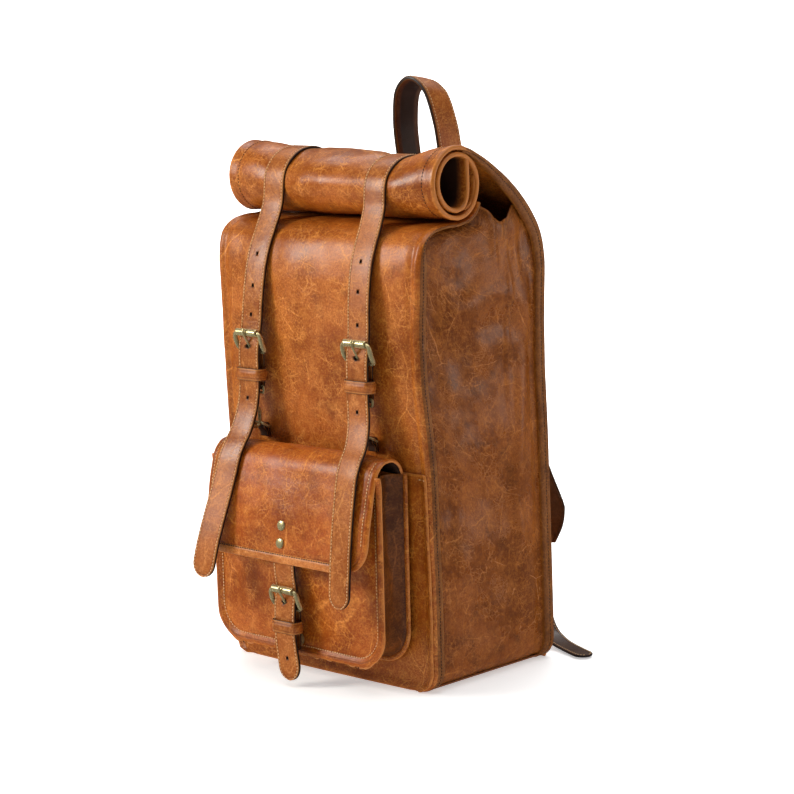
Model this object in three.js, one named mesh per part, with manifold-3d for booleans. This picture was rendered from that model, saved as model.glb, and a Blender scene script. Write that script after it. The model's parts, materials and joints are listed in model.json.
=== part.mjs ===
// A leather roll-top backpack with a buckled front pocket, in millimetres, +Z up.
// The front faces -Y, the wearer's back is at +Y, and the origin is the centre of the base.
// Most pieces are cut from flat leather, so they are drawn as a profile in the Y-Z plane
// and extruded along X. Metal fittings are drawn in small frames of their own and placed.
import * as THREE from "three";
import { mergeVertices } from "three/addons/utils/BufferGeometryUtils.js";
import Module from "manifold-3d";

const wasm = await Module();
wasm.setup();

// ---------------------------------------------------------------- driving dimensions

const BAG_WIDTH = 290;
const BAG_HALF = BAG_WIDTH / 2;
const LEATHER = 2.4; // one layer of cow hide
const STRAP_THICK = 3.2; // two layers, glued and stitched
const GAP = 0.4; // clearance left between pieces that touch
const FRONT_Y = -90; // front seam at the base
const BACK_Y = 95;

// Outer face of the front panel, as (y, z) from the base up, under the roll and behind it.
const FRONT_LINE = [
  [FRONT_Y, 0],
  [-91, 100],
  [-92, 200],
  [-97, 250],
  [-102, 310],
  [-103, 370],
  [-101, 415],
  [-95, 442],
  [-82, 460],
  [-64, 469],
  [-40, 472],
  [-16, 475.5],
  [-6, 484],
  [-3.8, 500],
];
// Outer face of the back panel, from the base up and forward to the top of the roll.
const BACK_LINE = [
  [BACK_Y, 0],
  [BACK_Y, 200],
  [BACK_Y, 380],
  [93.5, 430],
  [87, 456],
  [73, 479],
  [55, 499],
  [38, 514],
  [20, 526],
  [4, 534],
  [-12, 541],
];
const ROLL = { y: -39.5, z: 511, radius: 36.5, turns: 1.8, pitch: 5.8, band: 4.8 };

const POCKET = {
  half: 116.5,
  top: 224,
  bottom: 34,
  corner: 34,
  base: -97.1,
  front: -133.1,
  flange: 5,
};
// Outer face of the pocket flap, from its seam on the bag over the crown and down.
const FLAP_LINE = [
  [-97, 227],
  [-103.5, 235.5],
  [-111, 239.8],
  [-118.6, 240.8],
  [-127, 240],
  [-137.5, 232],
  [-144, 212],
  [-149.5, 190],
  [-153.5, 165],
  [-156.5, 145],
  [-158, 129],
];
const CROWN = 3; // the point of FLAP_LINE where the leather bends
const FLAP_HALF = 117;

const MAIN_BUCKLE = { y: -113, z: 334.6, width: 31 };
const POCKET_BUCKLE = { y: -148, z: 79.6, width: 31 };
const STRAP_WIDTH = 30;
const STRAP_X = 78;
// Centre line of a main strap, from its seam on the back flap to the fold at its keeper.
const MAIN_STRAP_LINE = [
  [48, 508.5],
  [30, 523],
  [8, 536.5],
  [-10, 544],
  [-28, 549.8],
  [-45, 549.8],
  [-60, 544.5],
  [-72, 533.5],
  [-80, 516],
  [-84.5, 495],
  [-94, 470],
  [-103, 447],
  [-109, 415],
  [-113.5, 380],
  [-115.7, 356],
  [-117.6, 345],
  [-119.2, 334],
  [-119.4, 318],
  [-119.4, 303.6],
];
const TAIL_TOP = { y: -119.4, z: 302 }; // where the tail leaves its keeper
const TAIL_LINE = [
  [TAIL_TOP.y, TAIL_TOP.z],
  [-123.6, 280],
  [-131.5, 258],
  [-140, 243],
  [-147.5, 230],
  [-153, 207],
  [-158, 180],
  [-162, 150],
  [-164.5, 130],
  [-167, 100],
];
const TAIL_DRIFT = { left: -0.085, right: -0.03 }; // sideways mm for each mm of fall
const POCKET_STRAP_LINE = [
  [-146, 184],
  [-149, 165],
  [-152, 145],
  [-153.4, 129],
  [-152.8, 115],
  [-150.9, 101],
  [-152.4, 91],
  [-154.2, 80],
  [-154.8, 60],
  [-156, 38],
  [-158, 7],
];

const HANDLE = { half: 29, y: 66, apex: 610, width: 34, thick: 4.4, foot: 470 };
const SHOULDER_TOP = { x: 50, z: 396 };
const SHOULDER_FOOT = { x: 81, z: 106 };
const SHOULDER_LINE = [
  [112, SHOULDER_TOP.z],
  [118, 320],
  [127, 245],
  [142, 190],
  [158, 150],
  [162, 128],
  [156, SHOULDER_FOOT.z],
];
const SHOULDER = { width: 52, thick: 7 };
const BACK_BUCKLE = { x: 78.5, y: 153, z: 96, lean: -0.2, width: 26 }; // its upper bar
const ANCHOR_X = 97;
const ANCHOR_LINE = [
  [97.1, 6],
  [97.3, 14],
  [101.5, 23],
  [103, 26],
];
// Centre line of a lower strap (x, y, z), from its seam on the back up over the buckle's
// lower bar and down to a free end on the floor. The fourth value is the heading, in plan,
// of the strap's width.
const LOWER_STRAP = [
  [95.2, 104.5, 31, 0],
  [90, 117, 42, 0],
  [82, 138, 62, 0],
  [78.8, 144.4, 71, 0],
  [78.6, 145.6, 76.2, 0],
  [78.5, 148.6, 79, 0],
  [78.6, 152, 76.6, 0],
  [79, 153.6, 69, 0],
  [81.5, 152, 48, 0.2],
  [89, 147, 29, 0.5],
  [103, 140, 14, 0.8],
  [126, 131.5, 6, 1.08],
  [156, 121, 3.2, 1.18],
  [180, 112, 3, 1.18],
];

// ---------------------------------------------------------------- materials

const material = (color, roughness, metalness = 0) =>
  new THREE.MeshStandardMaterial({ color, roughness, metalness });
const TAN = material(0xa8602a, 0.45);
const STRAP_TAN = material(0xa9622d, 0.5);
const BRASS = material(0x9a8450, 0.35, 1);
const LINING = material(0x2b211a, 0.9);

// ---------------------------------------------------------------- shape helpers

const root = new THREE.Group();

function add(name, geometry, mat, parent = root) {
  const mesh = new THREE.Mesh(geometry, mat);
  mesh.name = name;
  parent.add(mesh);
  return mesh;
}

const vectors = (points) => points.map(([a, b]) => new THREE.Vector2(a, b));

// Points on a smooth curve through the given ones.
function smooth(points, count) {
  const curve = new THREE.CatmullRomCurve3(
    points.map(([a, b]) => new THREE.Vector3(a, b, 0)),
    false,
    "centripetal",
  );
  return curve.getSpacedPoints(count).map((p) => new THREE.Vector2(p.x, p.y));
}

// A strip that follows a line, from offset a to offset b on the line's left.
function strip(line, a, b) {
  const last = line.length - 1;
  const shifted = (offset) =>
    line.map((p, i) => {
      const along = new THREE.Vector2()
        .subVectors(line[Math.min(i + 1, last)], line[Math.max(i - 1, 0)])
        .normalize();
      return new THREE.Vector2(p.x - along.y * offset, p.y + along.x * offset);
    });
  return new THREE.Shape([...shifted(a), ...shifted(b).reverse()]);
}

const extrude = (shape, depth) =>
  new THREE.ExtrudeGeometry(shape, { depth, bevelEnabled: false, curveSegments: 6 });

// A (y, z) shape drawn out along X.
function alongX(shape, from, to) {
  const turn = new THREE.Matrix4().makeBasis(
    new THREE.Vector3(0, 1, 0),
    new THREE.Vector3(0, 0, 1),
    new THREE.Vector3(1, 0, 0),
  );
  return extrude(shape, to - from).applyMatrix4(turn).translate(from, 0, 0);
}

// An (x, z) shape drawn out from the plane y = back towards -Y.
function alongY(shape, back, depth) {
  return extrude(shape, depth).rotateX(Math.PI / 2).translate(0, back, 0);
}

const box = (x0, x1, y0, y1, z0, z1) =>
  new THREE.BoxGeometry(x1 - x0, y1 - y0, z1 - z0).translate(
    (x0 + x1) / 2,
    (y0 + y1) / 2,
    (z0 + z1) / 2,
  );

// x moves sideways by slope for each mm of height above z0.
const leaned = (geometry, slope, z0) =>
  geometry.applyMatrix4(
    new THREE.Matrix4().set(1, 0, slope, -slope * z0, 0, 1, 0, 0, 0, 0, 1, 0, 0, 0, 0, 1),
  );

function roundedRect(halfWidth, low, high, radius, topRadius = radius) {
  const s = new THREE.Shape();
  const quarter = Math.PI / 2;
  s.absarc(halfWidth - radius, low + radius, radius, -quarter, 0);
  if (topRadius > 0) {
    s.absarc(halfWidth - topRadius, high - topRadius, topRadius, 0, quarter);
    s.absarc(-halfWidth + topRadius, high - topRadius, topRadius, quarter, 2 * quarter);
  } else {
    s.lineTo(halfWidth, high);
    s.lineTo(-halfWidth, high);
  }
  s.absarc(-halfWidth + radius, low + radius, radius, 2 * quarter, 3 * quarter);
  s.closePath();
  return s;
}

function circle(x, y, radius) {
  return new THREE.Path().absarc(x, y, radius, 0, 2 * Math.PI, true);
}

// ---------------------------------------------------------------- cutting and joining

function solidOf(geometry) {
  const plain = geometry.clone();
  for (const name of ["normal", "uv"]) plain.deleteAttribute(name);
  const merged = mergeVertices(plain, 1e-3);
  return new wasm.Manifold(
    new wasm.Mesh({
      numProp: 3,
      vertProperties: new Float32Array(merged.attributes.position.array),
      triVerts: new Uint32Array(merged.index.array),
    }),
  );
}

function geometryOf(solid) {
  const m = solid.getMesh();
  const g = new THREE.BufferGeometry();
  g.setAttribute("position", new THREE.BufferAttribute(new Float32Array(m.vertProperties), 3));
  g.setIndex(new THREE.BufferAttribute(new Uint32Array(m.triVerts), 1));
  return g;
}

const cut = (geometry, ...tools) =>
  geometryOf(tools.reduce((s, t) => s.subtract(solidOf(t)), solidOf(geometry)));
const join = (...pieces) => geometryOf(pieces.map(solidOf).reduce((a, b) => a.add(b)));

// A punch through a strap: a short rod along Y.
const punch = (x, y, z, radius, stretch = 1) =>
  new THREE.CylinderGeometry(radius, radius, 16, 10)
    .scale(1, 1, stretch)
    .translate(x, y, z);

// ---------------------------------------------------------------- the bag

function bag() {
  const front = smooth(FRONT_LINE, 30);
  const back = smooth(BACK_LINE, 26);
  add("front_panel", alongX(strip(front, 0, -LEATHER), -BAG_HALF, BAG_HALF), TAN);
  add("back_panel", alongX(strip(back, 0, LEATHER), -BAG_HALF, BAG_HALF), TAN);

  const inset = LEATHER + GAP;
  const side = new THREE.Shape(
    vectors([
      [FRONT_Y + inset, GAP],
      [BACK_Y - inset, GAP],
      [BACK_Y - inset, 380],
      [90, 428],
      [80, 448],
      [45, 464],
      [0, 471],
      [-40, 468.5],
      [-64, 465],
      [-79, 456],
      [-91.5, 440],
      [-98, 412],
      [-100, 370],
      [-99, 310],
      [-94, 250],
      [-89, 200],
      [-88, 100],
    ]),
  );
  for (const [name, from] of [
    ["left_gusset", -BAG_HALF + GAP],
    ["right_gusset", BAG_HALF - GAP - LEATHER],
  ])
    add(name, alongX(side, from, from + LEATHER), TAN);
  const floorHalf = BAG_HALF - 2 * GAP - LEATHER;
  add(
    "bottom_panel",
    box(-floorHalf, floorHalf, FRONT_Y + inset, BACK_Y - inset, 0, LEATHER),
    TAN,
  );

  // Binding: a stitched strip on each side that covers the back seam.
  const bound = strip(back, 0.5, 14);
  add("left_back_binding", alongX(bound, -BAG_HALF - GAP - 2, -BAG_HALF - GAP), TAN);
  add("right_back_binding", alongX(bound, BAG_HALF + GAP, BAG_HALF + GAP + 2), TAN);

  lining(floorHalf - 1);
  slipPocket();
}

function lining(half) {
  const wall = 1;
  const [low, high, y0, y1] = [LEATHER + 1, 425, FRONT_Y + 6, BACK_Y - 5];
  add(
    "lining",
    cut(
      box(-half, half, y0, y1, low, high),
      box(-half + wall, half - wall, y0 + wall, y1 - wall, low + wall, high + 5),
    ),
    LINING,
  );
}

// A flat pocket panel over the lower front, sewn at the sides and base and open on top.
function slipPocket() {
  const line = smooth(
    [
      [FRONT_Y, 1],
      [-91, 100],
      [-92, 200],
      [-94.2, 226],
    ],
    8,
  );
  add("slip_pocket_panel", alongX(strip(line, GAP, GAP + 2), -143, 143), TAN);
}

// Two layers of the bag's mouth rolled forward, as one spiral band.
function rollTop() {
  const start = (50 * Math.PI) / 180;
  const steps = 44;
  const sweep = ROLL.turns * 2 * Math.PI;
  const line = [];
  for (let i = 0; i <= steps; i++) {
    const angle = start + (sweep * i) / steps;
    const r = ROLL.radius - ROLL.band - (ROLL.pitch * i * ROLL.turns) / steps;
    line.push(
      new THREE.Vector2(ROLL.y + r * Math.cos(angle), ROLL.z + r * Math.sin(angle)),
    );
  }
  add("roll_top", alongX(strip(line, 0, -ROLL.band), -BAG_HALF + 1, BAG_HALF - 1), TAN);
}

// ---------------------------------------------------------------- the front pocket

// A U in the X-Z plane: down one side, along the base and up the other.
function uShape(half, bottom, corner, thick, top) {
  const outer = roundedRect(half, bottom, top, corner, 0).getPoints(8);
  const inner = roundedRect(half - thick, bottom + thick, top + 1, corner - thick, 0);
  return cut(extrude(new THREE.Shape(outer), 1), extrude(inner, 3).translate(0, 0, -1));
}

function frontPocket() {
  const stand = (u, back, depth) =>
    u.scale(1, 1, depth).rotateX(Math.PI / 2).translate(0, back, 0);
  add(
    "pocket_gusset",
    stand(uShape(POCKET.half, POCKET.bottom, POCKET.corner, 2, POCKET.top), POCKET.base, POCKET.base - POCKET.front - GAP),
    TAN,
  );
  const rim = POCKET.half + POCKET.flange;
  add(
    "pocket_base_piping",
    stand(
      uShape(rim, POCKET.bottom - POCKET.flange, POCKET.corner + 4, 4.4, POCKET.top),
      POCKET.base - GAP,
      2.4,
    ),
    TAN,
  );
  add(
    "pocket_front",
    alongY(
      roundedRect(rim, POCKET.bottom - POCKET.flange, POCKET.top + 1, POCKET.corner + 5, 2),
      POCKET.front,
      LEATHER,
    ),
    TAN,
  );
  add("snap_socket", snap(8, 4.3, POCKET.front - LEATHER - GAP), BRASS);
}

const snap = (radius, height, back) =>
  new THREE.CylinderGeometry(radius, radius, height, 20).translate(
    0,
    back - height / 2,
    45,
  );

const RIVET_HEIGHTS = { flap_rivet_upper: 167, flap_rivet_lower: 149 };
const RIVET_TILT = -0.15; // square to the flap

// Sets a shape drawn round the Y axis, with its head at +Y, on the flap's face at a height.
function onFlap(geometry, z) {
  const next = FLAP_LINE.findIndex(([, height]) => height < z);
  const [a, b] = [FLAP_LINE[next - 1], FLAP_LINE[next]];
  const y = a[0] + ((b[0] - a[0]) * (a[1] - z)) / (a[1] - b[1]);
  return geometry.rotateX(Math.PI + RIVET_TILT).translate(0, y - GAP, z);
}

function rivet() {
  const profile = [
    [0, -8],
    [1.3, -8],
    [1.3, 0],
    [4.6, 0],
    [4.4, 0.8],
    [3.4, 1.5],
    [1.8, 1.9],
    [0, 2],
  ];
  return new THREE.LatheGeometry(vectors(profile), 16);
}

function flap() {
  const line = smooth(FLAP_LINE, 44);
  const crown = line.findIndex((p) => p.x < FLAP_LINE[CROWN][0]);
  const behind = line.slice(0, crown - 1);
  const infront = line.slice(crown);
  add("flap_seam", alongX(strip(behind, 0, LEATHER), -FLAP_HALF, FLAP_HALF), TAN);

  const holes = [];
  for (const [name, z] of Object.entries(RIVET_HEIGHTS)) {
    add(name, onFlap(rivet(), z), BRASS);
    holes.push(onFlap(new THREE.CylinderGeometry(1.7, 1.7, 24, 12), z));
  }
  const outline = alongY(roundedRect(FLAP_HALF, 128, 260, 22, 0), -100, 80);
  const panel = solidOf(alongX(strip(infront, 0, LEATHER), -FLAP_HALF, FLAP_HALF));
  add(
    "pocket_flap",
    cut(geometryOf(panel.intersect(solidOf(outline))), ...holes),
    TAN,
  );
  const low = infront.filter((p) => p.y < 141);
  add("flap_binding", alongX(strip(low, -GAP - 1.5, -GAP), -FLAP_HALF + 23, FLAP_HALF - 23), STRAP_TAN);
  return holes;
}

// ---------------------------------------------------------------- straps

// A strap along a (y, z) line, with its last end rounded off in plan.
function strap(line, count, width, thick, tipZ) {
  const body = alongX(strip(smooth(line, count), -thick / 2, thick / 2), -width / 2, width / 2);
  if (tipZ === undefined) return body;
  const mask = alongY(roundedRect(width / 2, tipZ, 900, width / 2 - 0.5, 0), 250, 600);
  return geometryOf(solidOf(body).intersect(solidOf(mask)));
}

const strapHoles = (line, heights) =>
  heights.map((z) => {
    const i = line.findIndex(([, height]) => height < z);
    return punch(0, (line[i - 1][0] + line[i][0]) / 2, z, 1.7);
  });

// A flat strap through points in space (x, y, z, heading of its width in plan).
function ribbon(route, width, thick) {
  const centre = new THREE.CatmullRomCurve3(
    route.map(([x, y, z]) => new THREE.Vector3(x, y, z)),
    false,
    "centripetal",
  );
  const legs = route.length - 1;
  const count = 4 * legs;
  const positions = [];
  const faces = [];
  for (let i = 0; i <= count; i++) {
    const leg = Math.min(Math.floor(i / 4), legs - 1);
    const heading = THREE.MathUtils.lerp(route[leg][3], route[leg + 1][3], i / 4 - leg);
    const at = centre.getPoint(i / count);
    const along = centre.getTangent(i / count);
    const across = new THREE.Vector3(Math.cos(heading), Math.sin(heading), 0);
    across.addScaledVector(along, -across.dot(along)).normalize();
    const normal = new THREE.Vector3().crossVectors(along, across);
    for (const [a, b] of [[-1, -1], [1, -1], [1, 1], [-1, 1]]) {
      const corner = at
        .clone()
        .addScaledVector(across, (a * width) / 2)
        .addScaledVector(normal, (b * thick) / 2);
      positions.push(corner.x, corner.y, corner.z);
    }
    if (i === count) break;
    for (let k = 0; k < 4; k++) {
      const [p, q] = [4 * i + k, 4 * i + ((k + 1) % 4)];
      faces.push(p, q, q + 4, p, q + 4, p + 4);
    }
  }
  const end = 4 * count;
  faces.push(0, 2, 1, 0, 3, 2, end, end + 1, end + 2, end, end + 2, end + 3);
  const g = new THREE.BufferGeometry();
  g.setAttribute("position", new THREE.BufferAttribute(new Float32Array(positions), 3));
  g.setIndex(faces);
  return g;
}

// The same shape on the other side of the bag.
function mirrored(geometry) {
  const g = geometry.clone().scale(-1, 1, 1);
  g.setIndex(Array.from(g.index.array).reverse());
  return g;
}

// ---------------------------------------------------------------- buckle

const FRAME_TALL = 22; // hinge bar to roller bar
const TILT = (22 * Math.PI) / 180; // the roller end stands off the strap

// A rectangular frame that stands on its hinge bar.
function frameRing(width) {
  const half = width / 2 + 1;
  const bar = 3.2;
  const ring = roundedRect(half + bar, -bar / 2, FRAME_TALL + bar / 2, 3);
  ring.holes.push(roundedRect(half, bar / 2, FRAME_TALL - bar / 2, 0.8));
  return alongY(ring, 1.5, 3);
}

// A roller buckle in its own frame: the hinge bar's centre is the origin, the roller is up.
function buckle(prefix, { y, z, width }, x) {
  const group = new THREE.Group();
  group.position.set(x, y, z);
  const tilted = new THREE.Group();
  tilted.rotation.x = TILT;
  group.add(tilted);
  root.add(group);

  add(`${prefix}_frame`, frameRing(width), BRASS, tilted);

  const length = width - 1;
  const wall = [
    [2.5, -length / 2],
    [3.4, -length / 2],
    [3.4, length / 2],
    [2.5, length / 2],
    [2.5, -length / 2],
  ];
  const roller = new THREE.LatheGeometry(vectors(wall), 16)
    .rotateZ(-Math.PI / 2)
    .translate(0, 0, FRAME_TALL);
  add(`${prefix}_roller`, roller, BRASS, tilted);

  const arm = strip(vectors([[-2.4, 2.3], [-15.8, 23.4]]), -1, 1);
  const eye = new THREE.Shape().absarc(0, 0, 4, 0, 2 * Math.PI);
  eye.holes.push(circle(0, 0, 2.6));
  add(`${prefix}_prong`, join(alongX(arm, -1.5, 1.5), alongX(eye, -1.5, 1.5)), BRASS, group);
}

// A strap end folded round the hinge bar, with a slot for the prong, and maybe an eye below.
function chape(name, { y, z }, x, drop, lowerEye) {
  const half = 11.5;
  const thick = 4.4;
  const loop = (height) => alongX(new THREE.Shape().absarc(y, height, 4.2, 0, 2 * Math.PI), -half, half);
  const hole = (height) => alongX(new THREE.Shape().absarc(y, height, 2.5, 0, 2 * Math.PI), -half - 1, half + 1);
  const solid = [loop(z), box(-half, half, y - thick / 2, y + thick / 2, z - drop, z - 2)];
  const tools = [hole(z), box(-2.6, 2.6, y - 6, y + 6, z - 6, z + 6)];
  if (lowerEye) {
    solid.push(loop(z - drop));
    tools.push(hole(z - drop));
  }
  add(name, cut(join(...solid), ...tools).translate(x, 0, 0), STRAP_TAN);
}

// A leather loop round the strap and the chape behind it.
function keeper(name, x, front, back, low, tall) {
  const half = STRAP_WIDTH / 2 + 0.8;
  const wall = 1.6;
  const outer = box(-half - wall, half + wall, front - wall, back + wall, low, low + tall);
  const inner = box(-half, half, front, back, low - 1, low + tall + 1);
  add(name, cut(outer, inner).translate(x, 0, 0), STRAP_TAN);
}

// ---------------------------------------------------------------- snap hook and its ring

const HOOK = { y: -113, eye: 299, barrel: 289, jaw: 261, inner: 4.6, bar: 3 };

function snapHook(side, x) {
  const { y, eye, barrel, jaw, inner, bar } = HOOK;
  const put = (name, geometry) => add(`${side}_${name}`, geometry.translate(x, 0, 0), BRASS);

  const loop = roundedRect(15, eye - 8, eye + 1.6, 2);
  loop.holes.push(roundedRect(12.2, eye - 5, eye - 1.6, 1));
  const pin = new THREE.CylinderGeometry(1.5, 1.5, 6, 12).rotateX(Math.PI / 2);
  put(
    "hook_swivel",
    join(alongY(loop, y + 1.4, 2.8), pin.translate(0, y, eye - 10.6)),
  );

  // The body: a barrel round the swivel pin, a spine on the bag side and an open jaw.
  const top = new THREE.CylinderGeometry(4, 4.4, 12, 14)
    .rotateX(Math.PI / 2)
    .translate(0, y, barrel - 5);
  const bore = new THREE.CylinderGeometry(1.9, 1.9, 9, 12)
    .rotateX(Math.PI / 2)
    .translate(0, y, barrel - 2);
  const outer = inner + bar;
  const jawShape = new THREE.Shape();
  jawShape.absarc(y, jaw, outer, Math.PI, 2 * Math.PI);
  jawShape.lineTo(y + outer, barrel - 8);
  jawShape.lineTo(y, barrel - 8);
  jawShape.lineTo(y, barrel - 12);
  jawShape.lineTo(y + inner, barrel - 15);
  jawShape.absarc(y, jaw, inner, 0, Math.PI, true);
  jawShape.lineTo(y - inner, jaw + 3);
  jawShape.lineTo(y - outer, jaw + 3);
  jawShape.closePath();
  put("hook_body", cut(join(top, alongX(jawShape, -2.5, 2.5)), bore));

  const gate = strip(
    vectors([
      [y - inner - bar / 2, jaw + 4],
      [y - inner - bar / 2, barrel - 16],
      [y - inner - bar / 2 - 1, barrel - 11],
    ]),
    -1.2,
    1.2,
  );
  put("hook_gate", alongX(gate, -2, 2));

  // A D-ring that stands out of its tab and passes through the jaw.
  const tilt = 0.5;
  const ring = new THREE.Shape();
  const [reach, half, wire] = [12.5, 10, 2.6];
  ring.moveTo(-half, 0);
  ring.lineTo(half, 0);
  ring.absarc(half - 6, reach - 6, 6, 0, Math.PI / 2);
  ring.absarc(-half + 6, reach - 6, 6, Math.PI / 2, Math.PI);
  ring.closePath();
  const gapInRing = roundedRect(half - wire, wire, reach - wire, 2);
  ring.holes.push(gapInRing);
  const flat = extrude(ring, wire)
    .translate(0, 0, -wire / 2)
    .rotateZ(Math.PI)
    .rotateX(-tilt)
    .translate(0, RING_BAR.y, RING_BAR.z);
  put("ring", flat);
}

const RING_BAR = { y: -102.2, z: 254.6 };

function ringTab(side, x) {
  const { y, z } = RING_BAR;
  const half = 6.6;
  const loop = new THREE.Shape().absarc(y, z, 4, 0, 2 * Math.PI);
  const patch = box(-half, half, y - 0.2, y + 2.6, z - 11, z - 1);
  const bore = new THREE.Shape().absarc(y, z, 2.9, 0, 2 * Math.PI);
  const mouth = box(-half - 1, half + 1, y - 6, y - 0.6, z - 3, z + 3.4);
  add(
    `${side}_ring_tab`,
    cut(join(alongX(loop, -half, half), patch), alongX(bore, -half - 1, half + 1), mouth)
      .translate(x, 0, 0),
    STRAP_TAN,
  );
}

function mainStrap(side, x) {
  const holes = strapHoles(MAIN_STRAP_LINE, [436, 404, 372]);
  const slot = punch(0, -117.6, 341.2, 2.2, 3.2);
  const upper = cut(strap(MAIN_STRAP_LINE, 46, STRAP_WIDTH, STRAP_THICK), ...holes, slot);
  add(`${side}_strap`, upper.translate(x, 0, 0), STRAP_TAN);

  const tail = cut(
    strap(TAIL_LINE, 20, STRAP_WIDTH, STRAP_THICK, TAIL_LINE.at(-1)[1]),
    ...strapHoles(TAIL_LINE, [286]),
  );
  leaned(tail, TAIL_DRIFT[side] * Math.sign(x), TAIL_TOP.z);
  add(`${side}_strap_tail`, tail.translate(x, 0, 0), STRAP_TAN);

  buckle(`${side}_buckle`, MAIN_BUCKLE, x);
  chape(`${side}_chape`, MAIN_BUCKLE, x, MAIN_BUCKLE.z - HOOK.eye, true);
  keeper(`${side}_keeper`, x, -121.8, -109.8, 305, 13);
  snapHook(side, x);
  ringTab(side, x);
}

function pocketStrap(rivetHoles) {
  const punched = strapHoles(POCKET_STRAP_LINE, [30]);
  const slot = punch(0, -152.4, 86.8, 2.2, 3.3);
  const body = strap(POCKET_STRAP_LINE, 34, STRAP_WIDTH, STRAP_THICK, 7);
  add("pocket_strap", cut(body, ...rivetHoles, ...punched, slot), STRAP_TAN);
  buckle("pocket_buckle", POCKET_BUCKLE, 0);
  chape("pocket_chape", POCKET_BUCKLE, 0, 42, false);
  keeper("pocket_keeper", 0, -157.4, -145.2, 55, 13);
  add("snap_stud", snap(5.5, 4.2, -141.2), BRASS);
}

// ---------------------------------------------------------------- handle and yoke

// The solid under the back panel's outer face, grown outwards by a little.
function underBack(grow) {
  const back = smooth(BACK_LINE, 26);
  const shape = strip(back, -grow, 60);
  return alongX(shape, -200, 200);
}

// Centre-line slope of the shoulder straps, in x for each mm of z.
const SPLAY = (SHOULDER_TOP.x - SHOULDER_FOOT.x) / (SHOULDER_TOP.z - SHOULDER_FOOT.z);
const splayed = (geometry, sign) =>
  leaned(geometry, SPLAY * sign, SHOULDER_TOP.z).translate(SHOULDER_TOP.x * sign, 0, 0);

// The patch across the upper back, with the two strap roots sewn under it.
function yoke() {
  const back = smooth(BACK_LINE, 40);
  const covered = back.filter((p) => p.y > 402 && p.x > 60);
  const plate = alongX(strip(covered, -GAP - 2.4, -GAP), -86, 86);
  const stub = [
    [96, 437],
    [103, 418],
    [110.5, 399],
  ];
  const stubs = [-1, 1].map((sign) => splayed(strap(stub, 6, 44, 4), sign));
  add("yoke_patch", join(plate, ...stubs), TAN);
}

function handle() {
  const { half, y, apex, width, thick, foot } = HANDLE;
  const line = smooth(
    [
      [-half, foot],
      [-half - 1, 520],
      [-half + 1, 565],
      [-half + 11, 597],
      [0, apex],
      [half - 11, 597],
      [half - 1, 565],
      [half + 1, 520],
      [half, foot],
    ],
    28,
  );
  const lean = 0.16;
  const arch = alongY(strip(line, 0, -thick), width / 2, width)
    .applyMatrix4(new THREE.Matrix4().set(1, 0, 0, 0, 0, 1, -lean, lean * apex, 0, 0, 1, 0, 0, 0, 0, 1))
    .translate(0, y, 0);
  add("handle", cut(arch, underBack(4)), STRAP_TAN);
}

// ---------------------------------------------------------------- shoulder straps

function shoulderStrap(side, sign) {
  const pad = strap(SHOULDER_LINE, 20, SHOULDER.width, SHOULDER.thick);
  add(`${side}_shoulder_strap`, splayed(pad, sign), STRAP_TAN);

  const { x, y, z, lean, width } = BACK_BUCKLE;
  const frame = frameRing(width).translate(0, 0, -FRAME_TALL).rotateX(lean);
  add(`${side}_shoulder_buckle`, frame.translate(x * sign, y, z), BRASS);
  const lower = ribbon(LOWER_STRAP, 22, 2.6);
  add(`${side}_lower_strap`, sign > 0 ? lower : mirrored(lower), STRAP_TAN);

  // The tab in the base seam that holds the lower strap.
  const tab = strap(ANCHOR_LINE, 6, 26, STRAP_THICK);
  add(`${side}_anchor_tab`, tab.translate(ANCHOR_X * sign, 0, 0), STRAP_TAN);
}

// ---------------------------------------------------------------- assembly

bag();
rollTop();
frontPocket();
pocketStrap(flap());
mainStrap("left", -STRAP_X);
mainStrap("right", STRAP_X);
yoke();
handle();
shoulderStrap("left", -1);
shoulderStrap("right", 1);

export default root;
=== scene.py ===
"""The leather roll-top backpack: soft leather, stitching and brass over its CAD frame.

Shapes are worked out in millimetres, in the frame's axes: the front faces -Y, +X is to the
right seen from the front and +Z is up. They become metres when a mesh is made.
"""

import json
import math

import bpy
import numpy as np
from mathutils import Matrix, Vector, noise
from mathutils.kdtree import KDTree


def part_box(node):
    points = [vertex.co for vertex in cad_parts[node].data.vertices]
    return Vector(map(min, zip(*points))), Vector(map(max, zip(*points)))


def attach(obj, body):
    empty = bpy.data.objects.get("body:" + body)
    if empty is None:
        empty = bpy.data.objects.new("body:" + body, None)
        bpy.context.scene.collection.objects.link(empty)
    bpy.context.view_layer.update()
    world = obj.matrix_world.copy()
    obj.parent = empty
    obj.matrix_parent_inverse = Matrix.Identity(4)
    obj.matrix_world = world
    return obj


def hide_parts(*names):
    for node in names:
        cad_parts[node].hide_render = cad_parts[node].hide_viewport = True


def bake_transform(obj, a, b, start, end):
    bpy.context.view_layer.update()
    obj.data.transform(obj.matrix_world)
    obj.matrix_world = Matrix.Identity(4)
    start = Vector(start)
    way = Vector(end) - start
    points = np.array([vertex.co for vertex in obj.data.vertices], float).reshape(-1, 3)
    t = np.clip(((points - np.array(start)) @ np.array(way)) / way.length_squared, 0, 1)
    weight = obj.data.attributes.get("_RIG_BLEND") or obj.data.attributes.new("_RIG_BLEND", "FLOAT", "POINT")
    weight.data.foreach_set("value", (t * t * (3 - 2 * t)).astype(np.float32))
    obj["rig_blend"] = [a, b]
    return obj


MM = 0.001
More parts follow.
